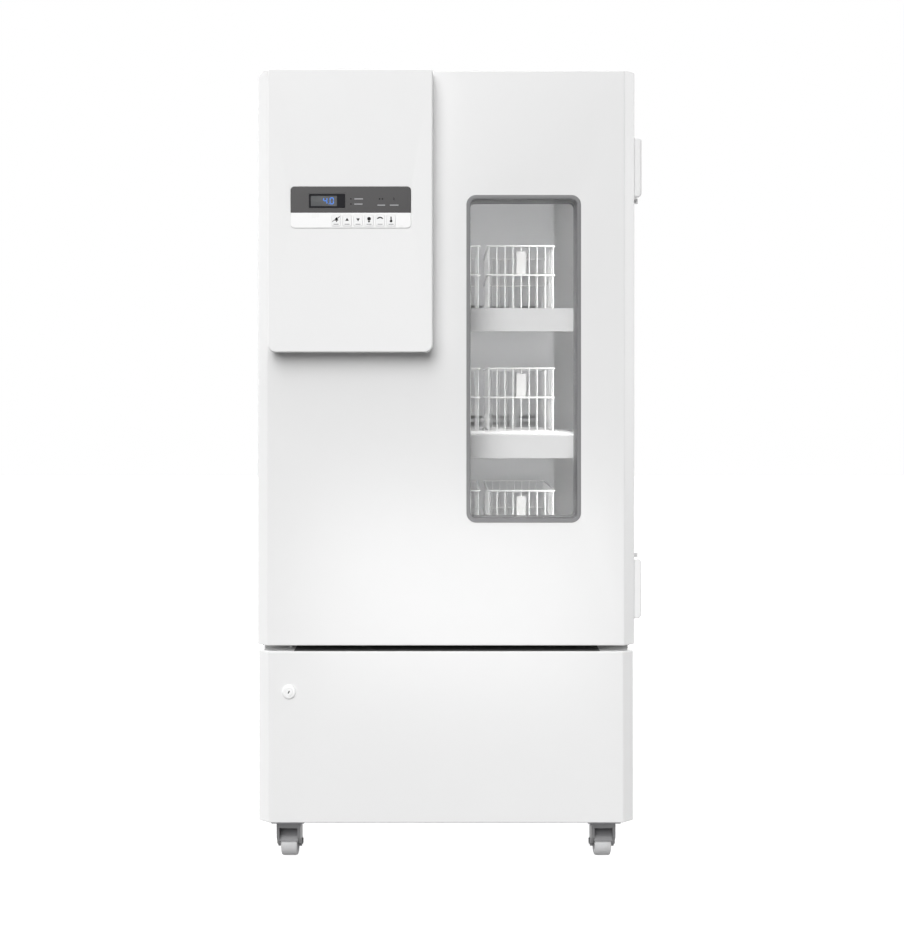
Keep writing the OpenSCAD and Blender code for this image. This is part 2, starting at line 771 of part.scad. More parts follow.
module refrigerant_pipes() color("peru") {
  x_cond = cond_x + cond_w / 2;
  x_stub = comp_x - comp_r - stub_l;
  x_mid = (x_cond + x_stub) / 2;
  z_room_top = z_room - sheet;
  z_low = cond_z - cond_h * 0.3;
  drier_l = 90;
  pipe([[x_stub, comp_y, pipe_z], [x_mid, comp_y, pipe_z], [x_mid, cond_y, pipe_z],
    [x_cond, cond_y, pipe_z]]);
  pipe([[comp_x, comp_y, comp_top + stub_l], [comp_x, comp_y, z_room_top]]);
  pipe([[x_cond, cond_y, z_low], [x_cond + drier_l + 40, cond_y, z_low],
    [x_cond + drier_l + 40, cond_y, z_room_top]]);
  rod_x(cond_y, z_low, 11, x_cond + 20, x_cond + 20 + drier_l);
}

// Cover that hangs under the chamber's ceiling, with an intake grille and the fan's wall
cover_wall = 2;
y_evap = y_mouth + evap_in;
y_evap_back = y_duct - fit;
module evaporator_cover() color("gainsboro") {
  x1 = evap_w / 2;
  n = 14;
  ring_d = evap_fan_d;
  difference() {
    block([-x1, y_evap, z_evap], [x1, y_evap_back, z_ceiling]);
    block([-x1 + cover_wall, y_evap + cover_wall, z_evap + cover_wall],
      [x1 - cover_wall, y_evap_back - cover_wall, z_ceiling + eps]);
    for (i = [0 : n - 1], j = [0 : 2])
      translate([(i - (n - 1) / 2) * (evap_w - 60) / n, y_evap + 50 + j * 50, z_evap])
        cube([(evap_w - 60) / n - 14, 34, 3 * cover_wall], center = true);
    rod_y(0, evap_fan_z, evap_fan_r, y_evap_back - 2 * cover_wall, y_evap_back + eps);
  }
  difference() {
    union() {
      block([-x1 + eps, evap_fan_y - 2, z_evap + eps], [x1 - eps, evap_fan_y + 2, z_ceiling - fit]);
      rod_y(0, evap_fan_z, evap_fan_r + tip_gap + 4, evap_fan_y - ring_d / 2, evap_fan_y + ring_d / 2);
    }
    rod_y(0, evap_fan_z, evap_fan_r + tip_gap, evap_fan_y - ring_d, evap_fan_y + ring_d);
  }
  fan_motor(0, evap_fan_y, evap_fan_z, evap_fan_r, ring_d);
}

module evaporator_fan() color("gray") fan_rotor(0, evap_fan_y, evap_fan_z, evap_fan_r, evap_fan_d);

module evaporator_coil() color("silver") {
  coil_w = evap_w - 2 * coil_side;
  coil_d = 120;
  coil_h = evap_h - 50;
  fin_block(0, y_evap + coil_d, z_ceiling - evap_h / 2 - 5, coil_w, coil_d, coil_h, 24, z_ceiling);
}

// Hollow channel on the rear wall, with two rows of slots behind each row of baskets
module air_duct_panel() color("lightgray") {
  x1 = duct_w / 2;
  n = 7;
  difference() {
    block([-x1, y_duct, z_duct], [x1, y_chamber, z_ceiling - fit]);
    block([-x1 + cover_wall, y_duct + cover_wall, z_duct + cover_wall],
      [x1 - cover_wall, y_chamber + eps, z_ceiling - fit - cover_wall]);
    for (z = z_shelf, i = [0 : n - 1], k = [14, 30])
      translate([(i - (n - 1) / 2) * duct_w / (n + 1), y_duct, z + k])
        cube([46, 3 * cover_wall, 7], center = true);
    rod_y(0, evap_fan_z, evap_fan_r, y_duct - eps, y_duct + 2 * cover_wall);
  }
}

module shelf_uprights() color("silver") {
  slots = floor((z_evap - z_shelf[0]) / upright_pitch);
  for (s = [-1, 1], y = upright_ys) difference() {
    translate([s * (chamber_x - upright_t / 2), y, (z_floor + z_evap) / 2])
      cube([upright_t, upright_w, z_evap - z_floor], center = true);
    for (k = [0 : slots])
      translate([s * (chamber_x - upright_t), y, z_shelf[0] - side_h / 2 + k * upright_pitch])
        cube([2 * (upright_t - upright_web), slot_w, slot_h], center = true);
  }
}

// Shelf: slotted deck on a folded frame with hooks, a deep front lip, and a bar that stops the baskets
module shelf(z) color("white") {
  x1 = shelf_x;
  hem = 14;
  slot_n = 9;
  y_in = y_lip + deck_t + mat_gap;
  z_frame = z - deck_t - mat_gap;
  hook_x = shelf_side - upright_web - fit;
  y_stop_back = y_basket + basket_l / 2 + fit + stop_t;
  difference() {
    block([-x1, y_in, z - deck_t], [x1, y_shelf_back, z]);
    for (i = [0 : slot_n - 1], j = [0 : 3])
      translate([(i - (slot_n - 1) / 2) * 2 * x1 / (slot_n + 0.5), y_basket + (j - 1.5) * basket_l / 4, z])
        cube([44, basket_l / 4 - 26, 4 * deck_t], center = true);
  }
  block([-x1, y_lip, z - lip_h], [x1, y_lip + deck_t, z]);
  block([-x1, y_lip, z - lip_h], [x1, y_lip + hem, z - lip_h + deck_t]);
  block([-x1, y_shelf_back - deck_t, z - side_h], [x1, y_shelf_back, z_frame]);
  for (s = [-1, 1]) {
    block([s > 0 ? x1 - deck_t : -x1, y_in, z - side_h], [s > 0 ? x1 : -x1 + deck_t, y_shelf_back, z_frame]);
    for (y = upright_ys)
      translate([s * (x1 + (hook_x - eps) / 2), y, z - side_h / 2])
        cube([hook_x + eps, hook_w, hook_h], center = true);
  }
  difference() {
    block([-stop_x, y_stop, z + mat_gap], [stop_x, y_stop_back, z + stop_h]);
    block([-stop_x + stop_t, y_stop + stop_t, z - eps],
      [stop_x - stop_t, y_stop_back - stop_t, z + stop_h + eps]);
  }
}
module shelf_lower() shelf(z_shelf[0]);
module shelf_middle() shelf(z_shelf[1]);
module shelf_upper() shelf(z_shelf[2]);

// Six-sided wires and rails, upright, across and front to back, with flat sides to the front
flat = cos(30) / 2;
module wire_z(l, d) cylinder(d = d, h = l, $fn = 6);
module wire_x(l, d) translate([-l / 2, 0, 0]) rotate([0, 90, 0]) cylinder(d = d, h = l, $fn = 6);
module wire_y(l, d) translate([0, l / 2, 0]) rotate([90, 0, 0]) cylinder(d = d, h = l, $fn = 6);

// Wire basket from five welded mats: front, back, two sides and the floor
weld = 0.8;
wire_pitch = (basket_w - wire_d) / (front_n - 1);
rail_y = basket_l / 2 - rail_d * flat;
wire_in = (rail_d + wire_d) * flat - weld;
side_rail_x = basket_w / 2 - 1.5 * wire_d - rail_d / 2 - fit;
rail_zs = [rail_d / 2, mid_z, rail_z];

module end_mat(s) {
  for (z = rail_zs) translate([0, s * rail_y, z]) wire_x(basket_w, rail_d);
  for (i = [0 : front_n - 1])
    translate([(i - (front_n - 1) / 2) * wire_pitch, s * (rail_y - wire_in), 0]) wire_z(rail_z, wire_d);
}

module side_mat(s) {
  l = 2 * (rail_y - rail_d * flat - mat_gap);
  step = (l - 40) / (side_n - 1);
  for (z = rail_zs) translate([s * side_rail_x, 0, z]) wire_y(l, rail_d);
  for (i = [0 : side_n - 1])
    translate([s * (side_rail_x - (rail_d + wire_d) / 2 + weld), (i - (side_n - 1) / 2) * step, 0])
      wire_z(rail_z, wire_d);
}

module floor_mat() {
  l = 2 * (rail_y - wire_in - wire_d * flat - mat_gap);
  w = 2 * (side_rail_x - rail_d / 2 - wire_d - fit);
  step = (l - 60) / (cross_n - 1);
  for (i = [1 : front_n - 2])
    translate([(i - (front_n - 1) / 2) * wire_pitch, 0, wire_d / 2]) wire_y(l, wire_d);
  for (i = [0 : cross_n - 1])
    translate([0, (i - (cross_n - 1) / 2) * step, wire_d / 2 + 2 * wire_d * flat - weld / 2])
      wire_x(w, wire_d);
}

module basket_row(z) color("white") for (i = [-1 : 1]) translate([i * basket_pitch, y_basket, z]) {
  for (s = [-1, 1]) {
    end_mat(s);
    side_mat(s);
  }
  floor_mat();
}
module baskets_lower() basket_row(z_shelf[0]);
module baskets_middle() basket_row(z_shelf[1]);
module baskets_upper() basket_row(z_shelf[2]);

module basket_labels() color("white") for (z = z_shelf, i = [-1 : 1]) {
  y1 = y_basket - rail_y + wire_in - wire_d * flat;
  translate([i * basket_pitch - label_w / 2, y1 - label_t, z + mid_z + rail_d / 2])
    cube([label_w, label_t, label_h]);
}

module access_port() color("gainsboro") {
  x0 = -cab_w / 2 - flange_t;
  x1 = -chamber_x + flange_t;
  difference() {
    union() {
      rod_x(port_y, port_z, port_out_r, x0, x1);
      rod_x(port_y, port_z, port_out_r + port_flange, x0, x0 + flange_t);
      rod_x(port_y, port_z, port_out_r + port_flange, x1 - flange_t, x1);
    }
    rod_x(port_y, port_z, port_r, x0 - eps, x1 + eps);
  }
}

module lock_body() color("whitesmoke") difference() {
  union() {
    rod_y(lock_x, lock_z, lock_face_r, y_door - lock_face_t, y_door);
    rod_y(lock_x, lock_z, lock_body_r, y_door - eps, y_plug_back);
  }
  rod_y(lock_x, lock_z, plug_r + run_fit, y_door - lock_face_t - eps, y_plug_back + eps);
}

// Key plug with its slot, and the crank that lifts the bolt
crank_x = lock_x + crank_r * cos(45);
crank_z = lock_z - crank_r * sin(45);
y_crank = y_plug_back + fit;
module lock_plug() color("silver") {
  y0 = y_door - lock_face_t;
  difference() {
    rod_y(lock_x, lock_z, plug_r, y0, y_crank + eps);
    block([lock_x - 0.8, y0 - eps, lock_z - 4.5], [lock_x + 0.8, y0 + 20, lock_z + 4.5]);
  }
  rod_y(lock_x, lock_z, crank_r + crank_pin_r + 2, y_crank, y_crank + crank_t);
  rod_y(crank_x, crank_z, crank_pin_r, y_crank + crank_t - eps, y_crank + crank_t + crank_pin_l);
}

module lock_bolt() color("white") {
  y0 = y_crank + crank_t + fit;
  slot_half = crank_pin_r + yoke_slack;
  x1 = lock_x + crank_r + slot_half;
  difference() {
    block([lock_x - bolt_r, y0, crank_z - slot_half - yoke_wall],
      [x1 + yoke_wall, y0 + yoke_t, crank_z + slot_half + yoke_wall]);
    block([crank_x - slot_half, y0 - eps, crank_z - slot_half], [x1, y0 + yoke_t + eps, crank_z + slot_half]);
  }
  z0 = crank_z - slot_half - yoke_wall;
  translate([lock_x, bolt_y, z0]) cylinder(r = bolt_r, h = bolt_top - z0);
}

module hinge_brackets() color("whitesmoke") for (z = hinge_zs) {
  x0 = cab_w / 2;
  bore = hinge_pin_r + run_fit;
  difference() {
    union() {
      block([x0, y_cab + 2, z], [x0 + hinge_t, y_cab + 2 + bracket_y, z + hinge_h]);
      for (e = [z, z + hinge_h - ear_h]) {
        translate([hinge_x, hinge_y, e]) cylinder(r = hinge_r, h = ear_h);
        block([x0, hinge_y, e], [hinge_x, hinge_y + hinge_r, e + ear_h]);
      }
    }
    translate([hinge_x, hinge_y, z - eps]) cylinder(r = bore, h = hinge_h + 2 * eps);
  }
  translate([hinge_x, hinge_y, z]) cylinder(r = hinge_pin_r, h = hinge_h);
}

// Outline of a leaf's cover: straight at the door's side, with round outer corners
module leaf_cover(z0, h) {
  x0 = door_w / 2;
  x1 = hinge_x + hinge_r;
  intersection() {
    rect(x0, z0, x1, z0 + h);
    translate([x0, z0 + h / 2]) round_rect(2 * (x1 - x0), h, leaf_cover_r);
  }
}

// Door side of the hinges: a cast cover with its leaf and its knuckle
module door_hinge_leaves() color("white") for (z = hinge_zs) {
  z0 = z + ear_h + fit;
  h = hinge_h - 2 * (ear_h + fit);
  y_leaf = hinge_y - hinge_r * 0.7;
  difference() {
    union() {
      from_to(y_door + cham_y + leaf_cover_in, y_leaf) leaf_cover(z0, h);
      block([door_w / 2, y_leaf - eps, z0], [door_w / 2 + hinge_t, hinge_y, z0 + h]);
      translate([hinge_x, hinge_y, z0]) cylinder(r = hinge_r, h = h);
    }
    translate([hinge_x, hinge_y, z0 - eps]) cylinder(r = hinge_pin_r + run_fit, h = h + 2 * eps);
  }
}

// Low dome of the door sensor on top of the base panel
sensor_x = 55;
sensor_y = y_door + 22;
sensor_r = 6;
sensor_h = 3;
module door_sensor() color("gray") {
  ball = (sensor_r * sensor_r + sensor_h * sensor_h) / (2 * sensor_h);
  difference() {
    translate([sensor_x, sensor_y, z_base_top + sensor_h - ball]) sphere(r = ball);
    translate([sensor_x, sensor_y, z_base_top - 10]) cube([40, 40, 20], center = true);
  }
}

module castor_plates() color("dimgray") for (p = castor_xy) translate([p.x, p.y, 0]) {
  translate([0, 0, castor_h - plate_t / 2]) cube([plate_w, plate_w, plate_t], center = true);
  translate([0, 0, castor_h - plate_t - ring_h]) cylinder(r = ring_r, h = ring_h + eps);
  translate([0, 0, z_crown - fit - swivel_head]) {
    cylinder(r = swivel_r, h = castor_h - plate_t - z_crown + fit + swivel_head);
    cylinder(r = swivel_r + 4, h = swivel_head);
  }
}

// Swivel fork with its riveted axle
module castor_fork(p) color("dimgray") translate([p.x, p.y, 0]) {
  y0 = -ring_r - 3;
  y1 = trail + leg_foot_r;
  difference() {
    union() {
      block([-fork_w / 2, y0, z_crown], [fork_w / 2, y1, z_crown + crown_t]);
      for (s = [-1, 1]) translate([s * (fork_w - leg_t) / 2 - leg_t / 2, 0, 0])
        rotate([90, 0, 90]) linear_extrude(leg_t) {
          polygon([
            [y0, z_crown + eps], [y1, z_crown + eps], [y1, wheel_r], [trail - leg_foot_r, wheel_r],
            [y0, z_crown - 12]
          ]);
          translate([trail, wheel_r]) circle(leg_foot_r);
        }
    }
    translate([0, 0, z_crown - eps]) cylinder(r = swivel_r + run_fit, h = crown_t + 2 * eps);
    rod_x(trail, wheel_r, axle_r + run_fit, -fork_w, fork_w);
  }
  rod_x(trail, wheel_r, axle_r, -fork_w / 2 - axle_head, fork_w / 2 + axle_head);
  for (s = [-1, 1]) translate([s * (fork_w + axle_head) / 2 + s * run_fit, trail, wheel_r])
    rotate([0, 90, 0]) cylinder(r = axle_r + 3, h = axle_head, center = true);
}
module fork_front_left() castor_fork(castor_xy[0]);
module fork_front_right() castor_fork(castor_xy[1]);
module fork_rear_left() castor_fork(castor_xy[2]);
module fork_rear_right() castor_fork(castor_xy[3]);

module castor_wheel(p) color("lightgray") translate([p.x, p.y + trail, wheel_r]) rotate([0, 90, 0])
  rotate_extrude($fn = 96) difference() {
    intersection() {
      round_rect(2 * wheel_r, wheel_w, 5);
      rect(axle_r + run_fit, -wheel_w, wheel_r + eps, wheel_w);
    }
    for (s = [-1, 1]) translate([wheel_r * 0.5, s * wheel_w / 2]) square([wheel_r * 0.45, 8], center = true);
  }
module wheel_front_left() castor_wheel(castor_xy[0]);
module wheel_front_right() castor_wheel(castor_xy[1]);
module wheel_rear_left() castor_wheel(castor_xy[2]);
module wheel_rear_right() castor_wheel(castor_xy[3]);

module door_skin() color("white") difference() {
  door_form(0, 0);
  door_form(sheet, eps);
  from_to(y_door - eps, y_door + sheet + eps) sight(tube_out + fit);
  translate([lock_x, bolt_y, z_door - eps]) cylinder(r = socket_r, h = sheet + 2 * eps);
}

module door_foam() color("khaki") difference() {
  door_form(sheet, -liner_t);
  from_to(y_door, y_door_back) sight(tube_out + fit);
  translate([lock_x, bolt_y, z_door]) cylinder(r = socket_r, h = socket_h);
}

// Liner with the seat of the inner pane, and a raised dike that stands in the chamber's mouth
module door_liner() color("gainsboro") {
  a = chamber_x - dike_gap;
  b = a - dike_w;
  z0 = z_floor + dike_gap;
  z1 = z_ceiling - dike_gap;
  from_to(y_door_back - eps, y_door_back + dike_h) difference() {
    rect(-a, z0, a, z1);
    rect(-b, z0 + dike_w, b, z1 - dike_w);
  }
  difference() {
    intersection() {
      door_form(sheet + fit, 0);
      block([-door_w, y_door_back - liner_t, z_door], [door_w, y_door_back, z_door_top]);
    }
    from_to(y_door, y_door_back + eps) sight(0);
  }
  from_to(y_retainer, y_door_back) difference() {
    sight(pane_seat);
    sight(0);
  }
}

module window_trim() color("gray") {
  from_to(y_door - trim_out, y_door) difference() {
    sight(trim_face);
    sight(0);
  }
  from_to(y_door, y_pane_1) difference() {
    sight(tube_out);
    sight(0);
  }
  from_to(y_pane_1, y_door_back - liner_t) difference() {
    sight(tube_out);
    sight(tube_in);
  }
}

module outer_glass() color([0.8, 0.9, 0.9, 0.3]) from_to(y_pane_1, y_spacer) sight(pane_seat);
module glass_spacer() color("gray") from_to(y_spacer, y_pane_2) difference() {
  sight(pane_seat);
  sight(0);
}
module inner_glass() color([0.8, 0.9, 0.9, 0.3]) from_to(y_pane_2, y_retainer) sight(pane_seat);

gasket_in = 14;
gasket_w = 28;
module door_gasket() color("lightgray") {
  a = chamber_x + gasket_in;
  b = a + gasket_w;
  from_to(y_door_back, y_cab - fit) difference() {
    rect(-b, z_floor - gasket_in - gasket_w, b, z_ceiling + gasket_in + gasket_w);
    rect(-a, z_floor - gasket_in, a, z_ceiling + gasket_in);
  }
}

// Outline of the control box set in by t
module box_outline(t) {
  w = box_w - 2 * t;
  h = box_h - 2 * t;
  translate([box_x + box_w / 2, box_z + box_h / 2]) {
    round_rect(w, h, max(box_r - t, 1));
    translate([0, h / 4]) round_rect(w, h / 2, max(box_top_r - t, 1));
  }
}

module control_box() color("whitesmoke") difference() {
  from_to(y_box, y_door) box_outline(0);
  from_to(y_box + box_t, y_door + eps) difference() {
    box_outline(box_t);
    rect(box_x, box_z + grip_h, box_x + box_w, box_z + grip_h + box_t);
  }
  block([box_x + box_r, y_box + box_t, box_z - eps], [box_x + box_w - box_r, y_door + eps, box_z + grip_h / 2]);
  from_to(y_box - eps, y_box + box_t + eps) fascia_outline(fit);
}

module fascia_outline(g) translate([fascia_x + fascia_w / 2, fascia_z + fascia_h / 2])
  round_rect(fascia_w + 2 * g, fascia_h + 2 * g, fascia_r + g);

module lcd_outline(g) rect(lcd_x - g, lcd_z - g, lcd_x + lcd_w + g, lcd_z + lcd_h + g);

module key_outline(i, g) translate([key_x + i * key_pitch, key_z])
  round_rect(key_w + 2 * g, key_h + 2 * g, key_r + g);

y_key_rim = y_fascia_back + fit;
y_board = y_key_rim + key_rim_t + key_travel + fit;

module display_fascia() color("slategray") difference() {
  union() {
    from_to(y_fascia, y_box + box_t + eps) fascia_outline(0);
    from_to(y_box + box_t, y_fascia_back) fascia_outline(fascia_rim);
    for (x = [post_in, fascia_w - post_in], z = [post_in, fascia_h - post_in])
      rod_y(fascia_x + x, fascia_z + z, post_r, y_fascia_back - eps, y_board);
  }
  from_to(y_fascia - eps, y_fascia_back + eps) lcd_outline(fit);
  for (i = [0 : 5]) from_to(y_fascia - eps, y_fascia_back + eps) key_outline(i, fit);
  for (z = lamp_zs) rod_y(lamp_x, z, lamp_r, y_fascia - eps, y_fascia + 0.8);
}

// Display panel and the circuit board that carries it
module display_panel() color("black") {
  from_to(y_fascia + 0.4, y_board) lcd_outline(0);
  from_to(y_board, y_board + board_t) rect(fascia_x + board_in, fascia_z + board_in,
    fascia_x + fascia_w - board_in, fascia_z + fascia_h - board_in);
}

module key(i) color("white") {
  from_to(y_fascia - key_out, y_key_rim + eps / 2) key_outline(i, 0);
  from_to(y_key_rim, y_key_rim + key_rim_t) key_outline(i, key_rim);
}
module key_1() key(0);
module key_2() key(1);
module key_3() key(2);
module key_4() key(3);
module key_5() key(4);
module key_6() key(5);

cabinet_shell();
cabinet_foam();
inner_liner();
breaker_frame();
base_chassis();
base_front_panel();
rear_cover();
power_inlet();
compressor();
compressor_mounts();
condenser();
condenser_fan_frame();
condenser_fan();
refrigerant_pipes();
evaporator_cover();
evaporator_coil();
evaporator_fan();
air_duct_panel();
shelf_uprights();
shelf_lower();
shelf_middle();
shelf_upper();
baskets_lower();
baskets_middle();
baskets_upper();
basket_labels();
access_port();
lock_body();
lock_plug();
lock_bolt();
hinge_brackets();
door_sensor();
castor_plates();
cover_screws();
door_skin();
door_foam();
door_liner();
window_trim();
outer_glass();
glass_spacer();
inner_glass();
door_gasket();
control_box();
display_fascia();
display_panel();
door_hinge_leaves();
key_1();
key_2();
key_3();
key_4();
key_5();
key_6();
fork_front_left();
fork_front_right();
fork_rear_left();
fork_rear_right();
wheel_front_left();
wheel_front_right();
wheel_rear_left();
wheel_rear_right();
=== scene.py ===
"""Looks of an upright blood bank refrigerator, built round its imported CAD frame.

Metres. X to the viewer's right, Y towards the back, Z up, the floor at zero.
"""

import logging
import math
from dataclasses import dataclass
from enum import Enum
from typing import Callable, Sequence

import bmesh
import bpy
from mathutils import Matrix, Vector


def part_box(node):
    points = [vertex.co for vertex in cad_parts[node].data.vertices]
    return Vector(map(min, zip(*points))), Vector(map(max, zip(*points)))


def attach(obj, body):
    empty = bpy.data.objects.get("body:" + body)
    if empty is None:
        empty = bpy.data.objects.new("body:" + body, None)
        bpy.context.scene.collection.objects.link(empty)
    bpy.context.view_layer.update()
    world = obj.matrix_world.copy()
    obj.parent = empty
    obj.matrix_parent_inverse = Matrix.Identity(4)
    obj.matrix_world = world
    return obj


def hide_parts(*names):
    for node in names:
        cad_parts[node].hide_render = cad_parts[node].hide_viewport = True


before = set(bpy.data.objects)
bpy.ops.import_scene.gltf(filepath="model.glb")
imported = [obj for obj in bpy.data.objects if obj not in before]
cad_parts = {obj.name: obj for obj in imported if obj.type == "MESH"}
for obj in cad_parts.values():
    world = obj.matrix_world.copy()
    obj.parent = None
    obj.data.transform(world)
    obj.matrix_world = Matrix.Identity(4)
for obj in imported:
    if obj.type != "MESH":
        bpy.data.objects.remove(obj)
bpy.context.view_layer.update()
LOG = logging.getLogger("refrigerator")
Point = tuple[float, float, float]
Flat = tuple[float, float]

MM = 0.001
DOOR_FRONT = -0.34375
DOOR_BACK = -0.25875
BOLT_RADIUS = 3 * MM
CASTOR_X = 0.3355
CASTOR_FRONT = -0.29375
CASTOR_REAR = 0.31625
INK = 0.1 * MM
EVEN: Point = (1, 1, 1)
DUST_COLOR = (0.2, 0.19, 0.17, 1)
NOISE_RANGE: Flat = (0.3, 0.7)


class Axis(Enum):
    """Direction in which a flat outline is pulled out, or a profile is turned."""

    X = (1.0, 0.0, 0.0)
    Y = (0.0, 1.0, 0.0)
    Z = (0.0, 0.0, 1.0)


class Grain(Enum):
    """Surface structure of a finish."""

    ORANGE_PEEL = "sprayed powder"
    MOULDED = "moulded plastic"
    BRUSHED = "drawn or rolled metal"
    RUBBER = "rubber"
    POLISHED = "smooth"


@dataclass(frozen=True)
class Finish:
    """One material with its colour, gloss and surface structure.

    Colours are linear. Scales are in cycles a metre, and relief is in metres.
    """

    name: str
    color: tuple[float, float, float]
    roughness: float = 0.4
    metallic: float = 0.0
    grain: Grain = Grain.MOULDED
    relief: float = 0.00004
    tone: float = 0.03
    tone_scale: float = 3.0
    gloss_spread: float = 0.06
    coat: float = 0.0
    specular: float = 0.5
    alpha: float = 1.0
    glow: float = 0.0
    dust: float = 0.0

    def _noise(self, nodes: bpy.types.Nodes, scale: float, detail: float,
               stretch: Point = EVEN) -> bpy.types.Node:
        """Adds a noise texture on the object's own coordinates.

        Args:
            nodes: The material's nodes.
            scale: Cycles a metre.
            detail: Octaves of the noise.
            stretch: Factors along X, Y and Z.

        Returns:
            The noise node.
        """
        place = nodes.new("ShaderNodeTexCoord")
        mapping = nodes.new("ShaderNodeMapping")
        mapping.inputs["Scale"].default_value = stretch
        noise = nodes.new("ShaderNodeTexNoise")
        noise.inputs["Scale"].default_value = scale
        noise.inputs["Detail"].default_value = detail
        links = noise.id_data.links
        links.new(place.outputs["Object"], mapping.inputs["Vector"])
        links.new(mapping.outputs["Vector"], noise.inputs["Vector"])
        return noise

    def _span(self, nodes: bpy.types.Nodes, source: bpy.types.NodeSocket, low: float,
              high: float) -> bpy.types.Node:
        """Maps a noise's usual range to a span.

        Args:
            nodes: The material's nodes.
            source: The noise's output.
            low: Result where the noise is lowest.
            high: Result where the noise is highest.

        Returns:
            The map range node.
        """
        span = nodes.new("ShaderNodeMapRange")
        span.inputs["From Min"].default_value, span.inputs["From Max"].default_value = NOISE_RANGE
        span.inputs["To Min"].default_value = low
        span.inputs["To Max"].default_value = high
        span.id_data.links.new(source, span.inputs["Value"])
        return span

    def _tint(self, nodes: bpy.types.Nodes, shader: bpy.types.Node) -> None:
        """Drives the colour with a broad mottle, and with specks of dust."""
        links = shader.id_data.links
        mix = nodes.new("ShaderNodeMix")
        mix.data_type = "RGBA"
        mix.inputs["A"].default_value = (*[c * (1 - self.tone) for c in self.color], 1)
        mix.inputs["B"].default_value = (*[min(c * (1 + self.tone), 1) for c in self.color], 1)
        mottle = self._noise(nodes, self.tone_scale, 4)
        links.new(self._span(nodes, mottle.outputs["Fac"], 0, 1).outputs["Result"], mix.inputs["Factor"])
        last = mix.outputs["Result"]
        if self.dust > 0:
            soil = nodes.new("ShaderNodeMix")
            soil.data_type = "RGBA"
            soil.inputs["B"].default_value = DUST_COLOR
            specks = self._noise(nodes, 60, 6)
            amount = self._span(nodes, specks.outputs["Fac"], 0, self.dust)
            links.new(amount.outputs["Result"], soil.inputs["Factor"])
            links.new(last, soil.inputs["A"])
            last = soil.outputs["Result"]
        links.new(last, shader.inputs["Base Color"])

    def _relief(self, nodes: bpy.types.Nodes, shader: bpy.types.Node) -> None:
        """Drives the normal with the grain's own pattern."""
        scale, detail, stretch = {
            Grain.ORANGE_PEEL: (420, 2, EVEN),
            Grain.MOULDED: (1400, 3, EVEN),
            Grain.BRUSHED: (900, 3, (1, 1, 0.02)),
            Grain.RUBBER: (700, 4, EVEN),
            Grain.POLISHED: (40, 2, EVEN),
        }[self.grain]
        links = shader.id_data.links
        bump = nodes.new("ShaderNodeBump")
        bump.inputs["Strength"].default_value = 0.5
        bump.inputs["Distance"].default_value = self.relief
        links.new(self._noise(nodes, scale, detail, stretch).outputs["Fac"], bump.inputs["Height"])
        links.new(bump.outputs["Normal"], shader.inputs["Normal"])

    def material(self) -> bpy.types.Material:
        """Returns the finish's material, made on its first use."""
        made = bpy.data.materials.get(self.name)
        if made:
            return made
        made = bpy.data.materials.new(self.name)
        made.use_nodes = True
        nodes = made.node_tree.nodes
        shader = nodes["Principled BSDF"]
        shader.inputs["Metallic"].default_value = self.metallic
        shader.inputs["Coat Weight"].default_value = self.coat
        shader.inputs["Specular IOR Level"].default_value = self.specular
        shader.inputs["Alpha"].default_value = self.alpha
        if self.glow > 0:
            shader.inputs["Emission Color"].default_value = (*self.color, 1)
            shader.inputs["Emission Strength"].default_value = self.glow
        self._tint(nodes, shader)
        self._relief(nodes, shader)
        clouds = self._noise(nodes, self.tone_scale * 9, 5)
        low = max(self.roughness - self.gloss_spread, 0.02)
        gloss = self._span(nodes, clouds.outputs["Fac"], low, self.roughness + self.gloss_spread)
        made.node_tree.links.new(gloss.outputs["Result"], shader.inputs["Roughness"])
        made.diffuse_color = (*self.color, self.alpha)
        return made


POWDER = Finish("powder_coat", (0.81, 0.81, 0.81), 0.26, grain=Grain.ORANGE_PEEL, relief=0.00004, tone=0.008,
                gloss_spread=0.012)
POWDER_BACK = Finish("powder_coat_back", (0.79, 0.79, 0.79), 0.5, grain=Grain.ORANGE_PEEL, relief=0.00005,
                     tone=0.01, gloss_spread=0.02)
BOX_PLASTIC = Finish("control_box_plastic", (0.84, 0.84, 0.84), 0.5, tone=0.01, relief=0.00003)
WHITE_PLASTIC = Finish("white_plastic", (0.96, 0.96, 0.955), 0.4, tone=0.02, relief=0.00003)
BAND_DARK = Finish("fascia_dark_band", (0.041, 0.039, 0.04), 0.32, tone=0.03, relief=0.000005,
                   gloss_spread=0.01)
BAND_WHITE = Finish("fascia_white_band", (0.95, 0.95, 0.95), 0.32, tone=0.01, relief=0.00001)
KEY_FILM = Finish("key_film", (0.9, 0.9, 0.9), 0.35, tone=0.015, relief=0.00002, tone_scale=40)
PRINT_DARK = Finish("dark_print", (0.012, 0.011, 0.012), 0.5, tone=0.08, relief=0.00001, tone_scale=60,
                    specular=0.12)
PRINT_GREY = Finish("grey_print", (0.32, 0.32, 0.33), 0.5, tone=0.06, relief=0.00001, tone_scale=60)
LCD_FRAME = Finish("display_frame", (0.009, 0.009, 0.012), 0.3, tone=0.1, relief=0.000005, gloss_spread=0.01,
                   specular=0.12)
LCD_GLASS = Finish("display_glass", (0.1, 0.104, 0.108), 0.12, tone=0.06, relief=0.000005, coat=0.6)
LCD_LIT = Finish("lit_segment", (0.03, 0.2, 0.75), 0.3, tone=0.05, relief=0.000005, glow=0.5)
LAMP_OFF = Finish("lamp_lens", (0.012, 0.011, 0.011), 0.2, tone=0.1, relief=0.00001, specular=0.12)
TRIM = Finish("window_trim_grey", (0.19, 0.19, 0.195), 0.38, tone=0.03, relief=0.00003)
TRIM_DARK = Finish("pane_spacer", (0.2, 0.2, 0.204), 0.5, tone=0.06, relief=0.00003)
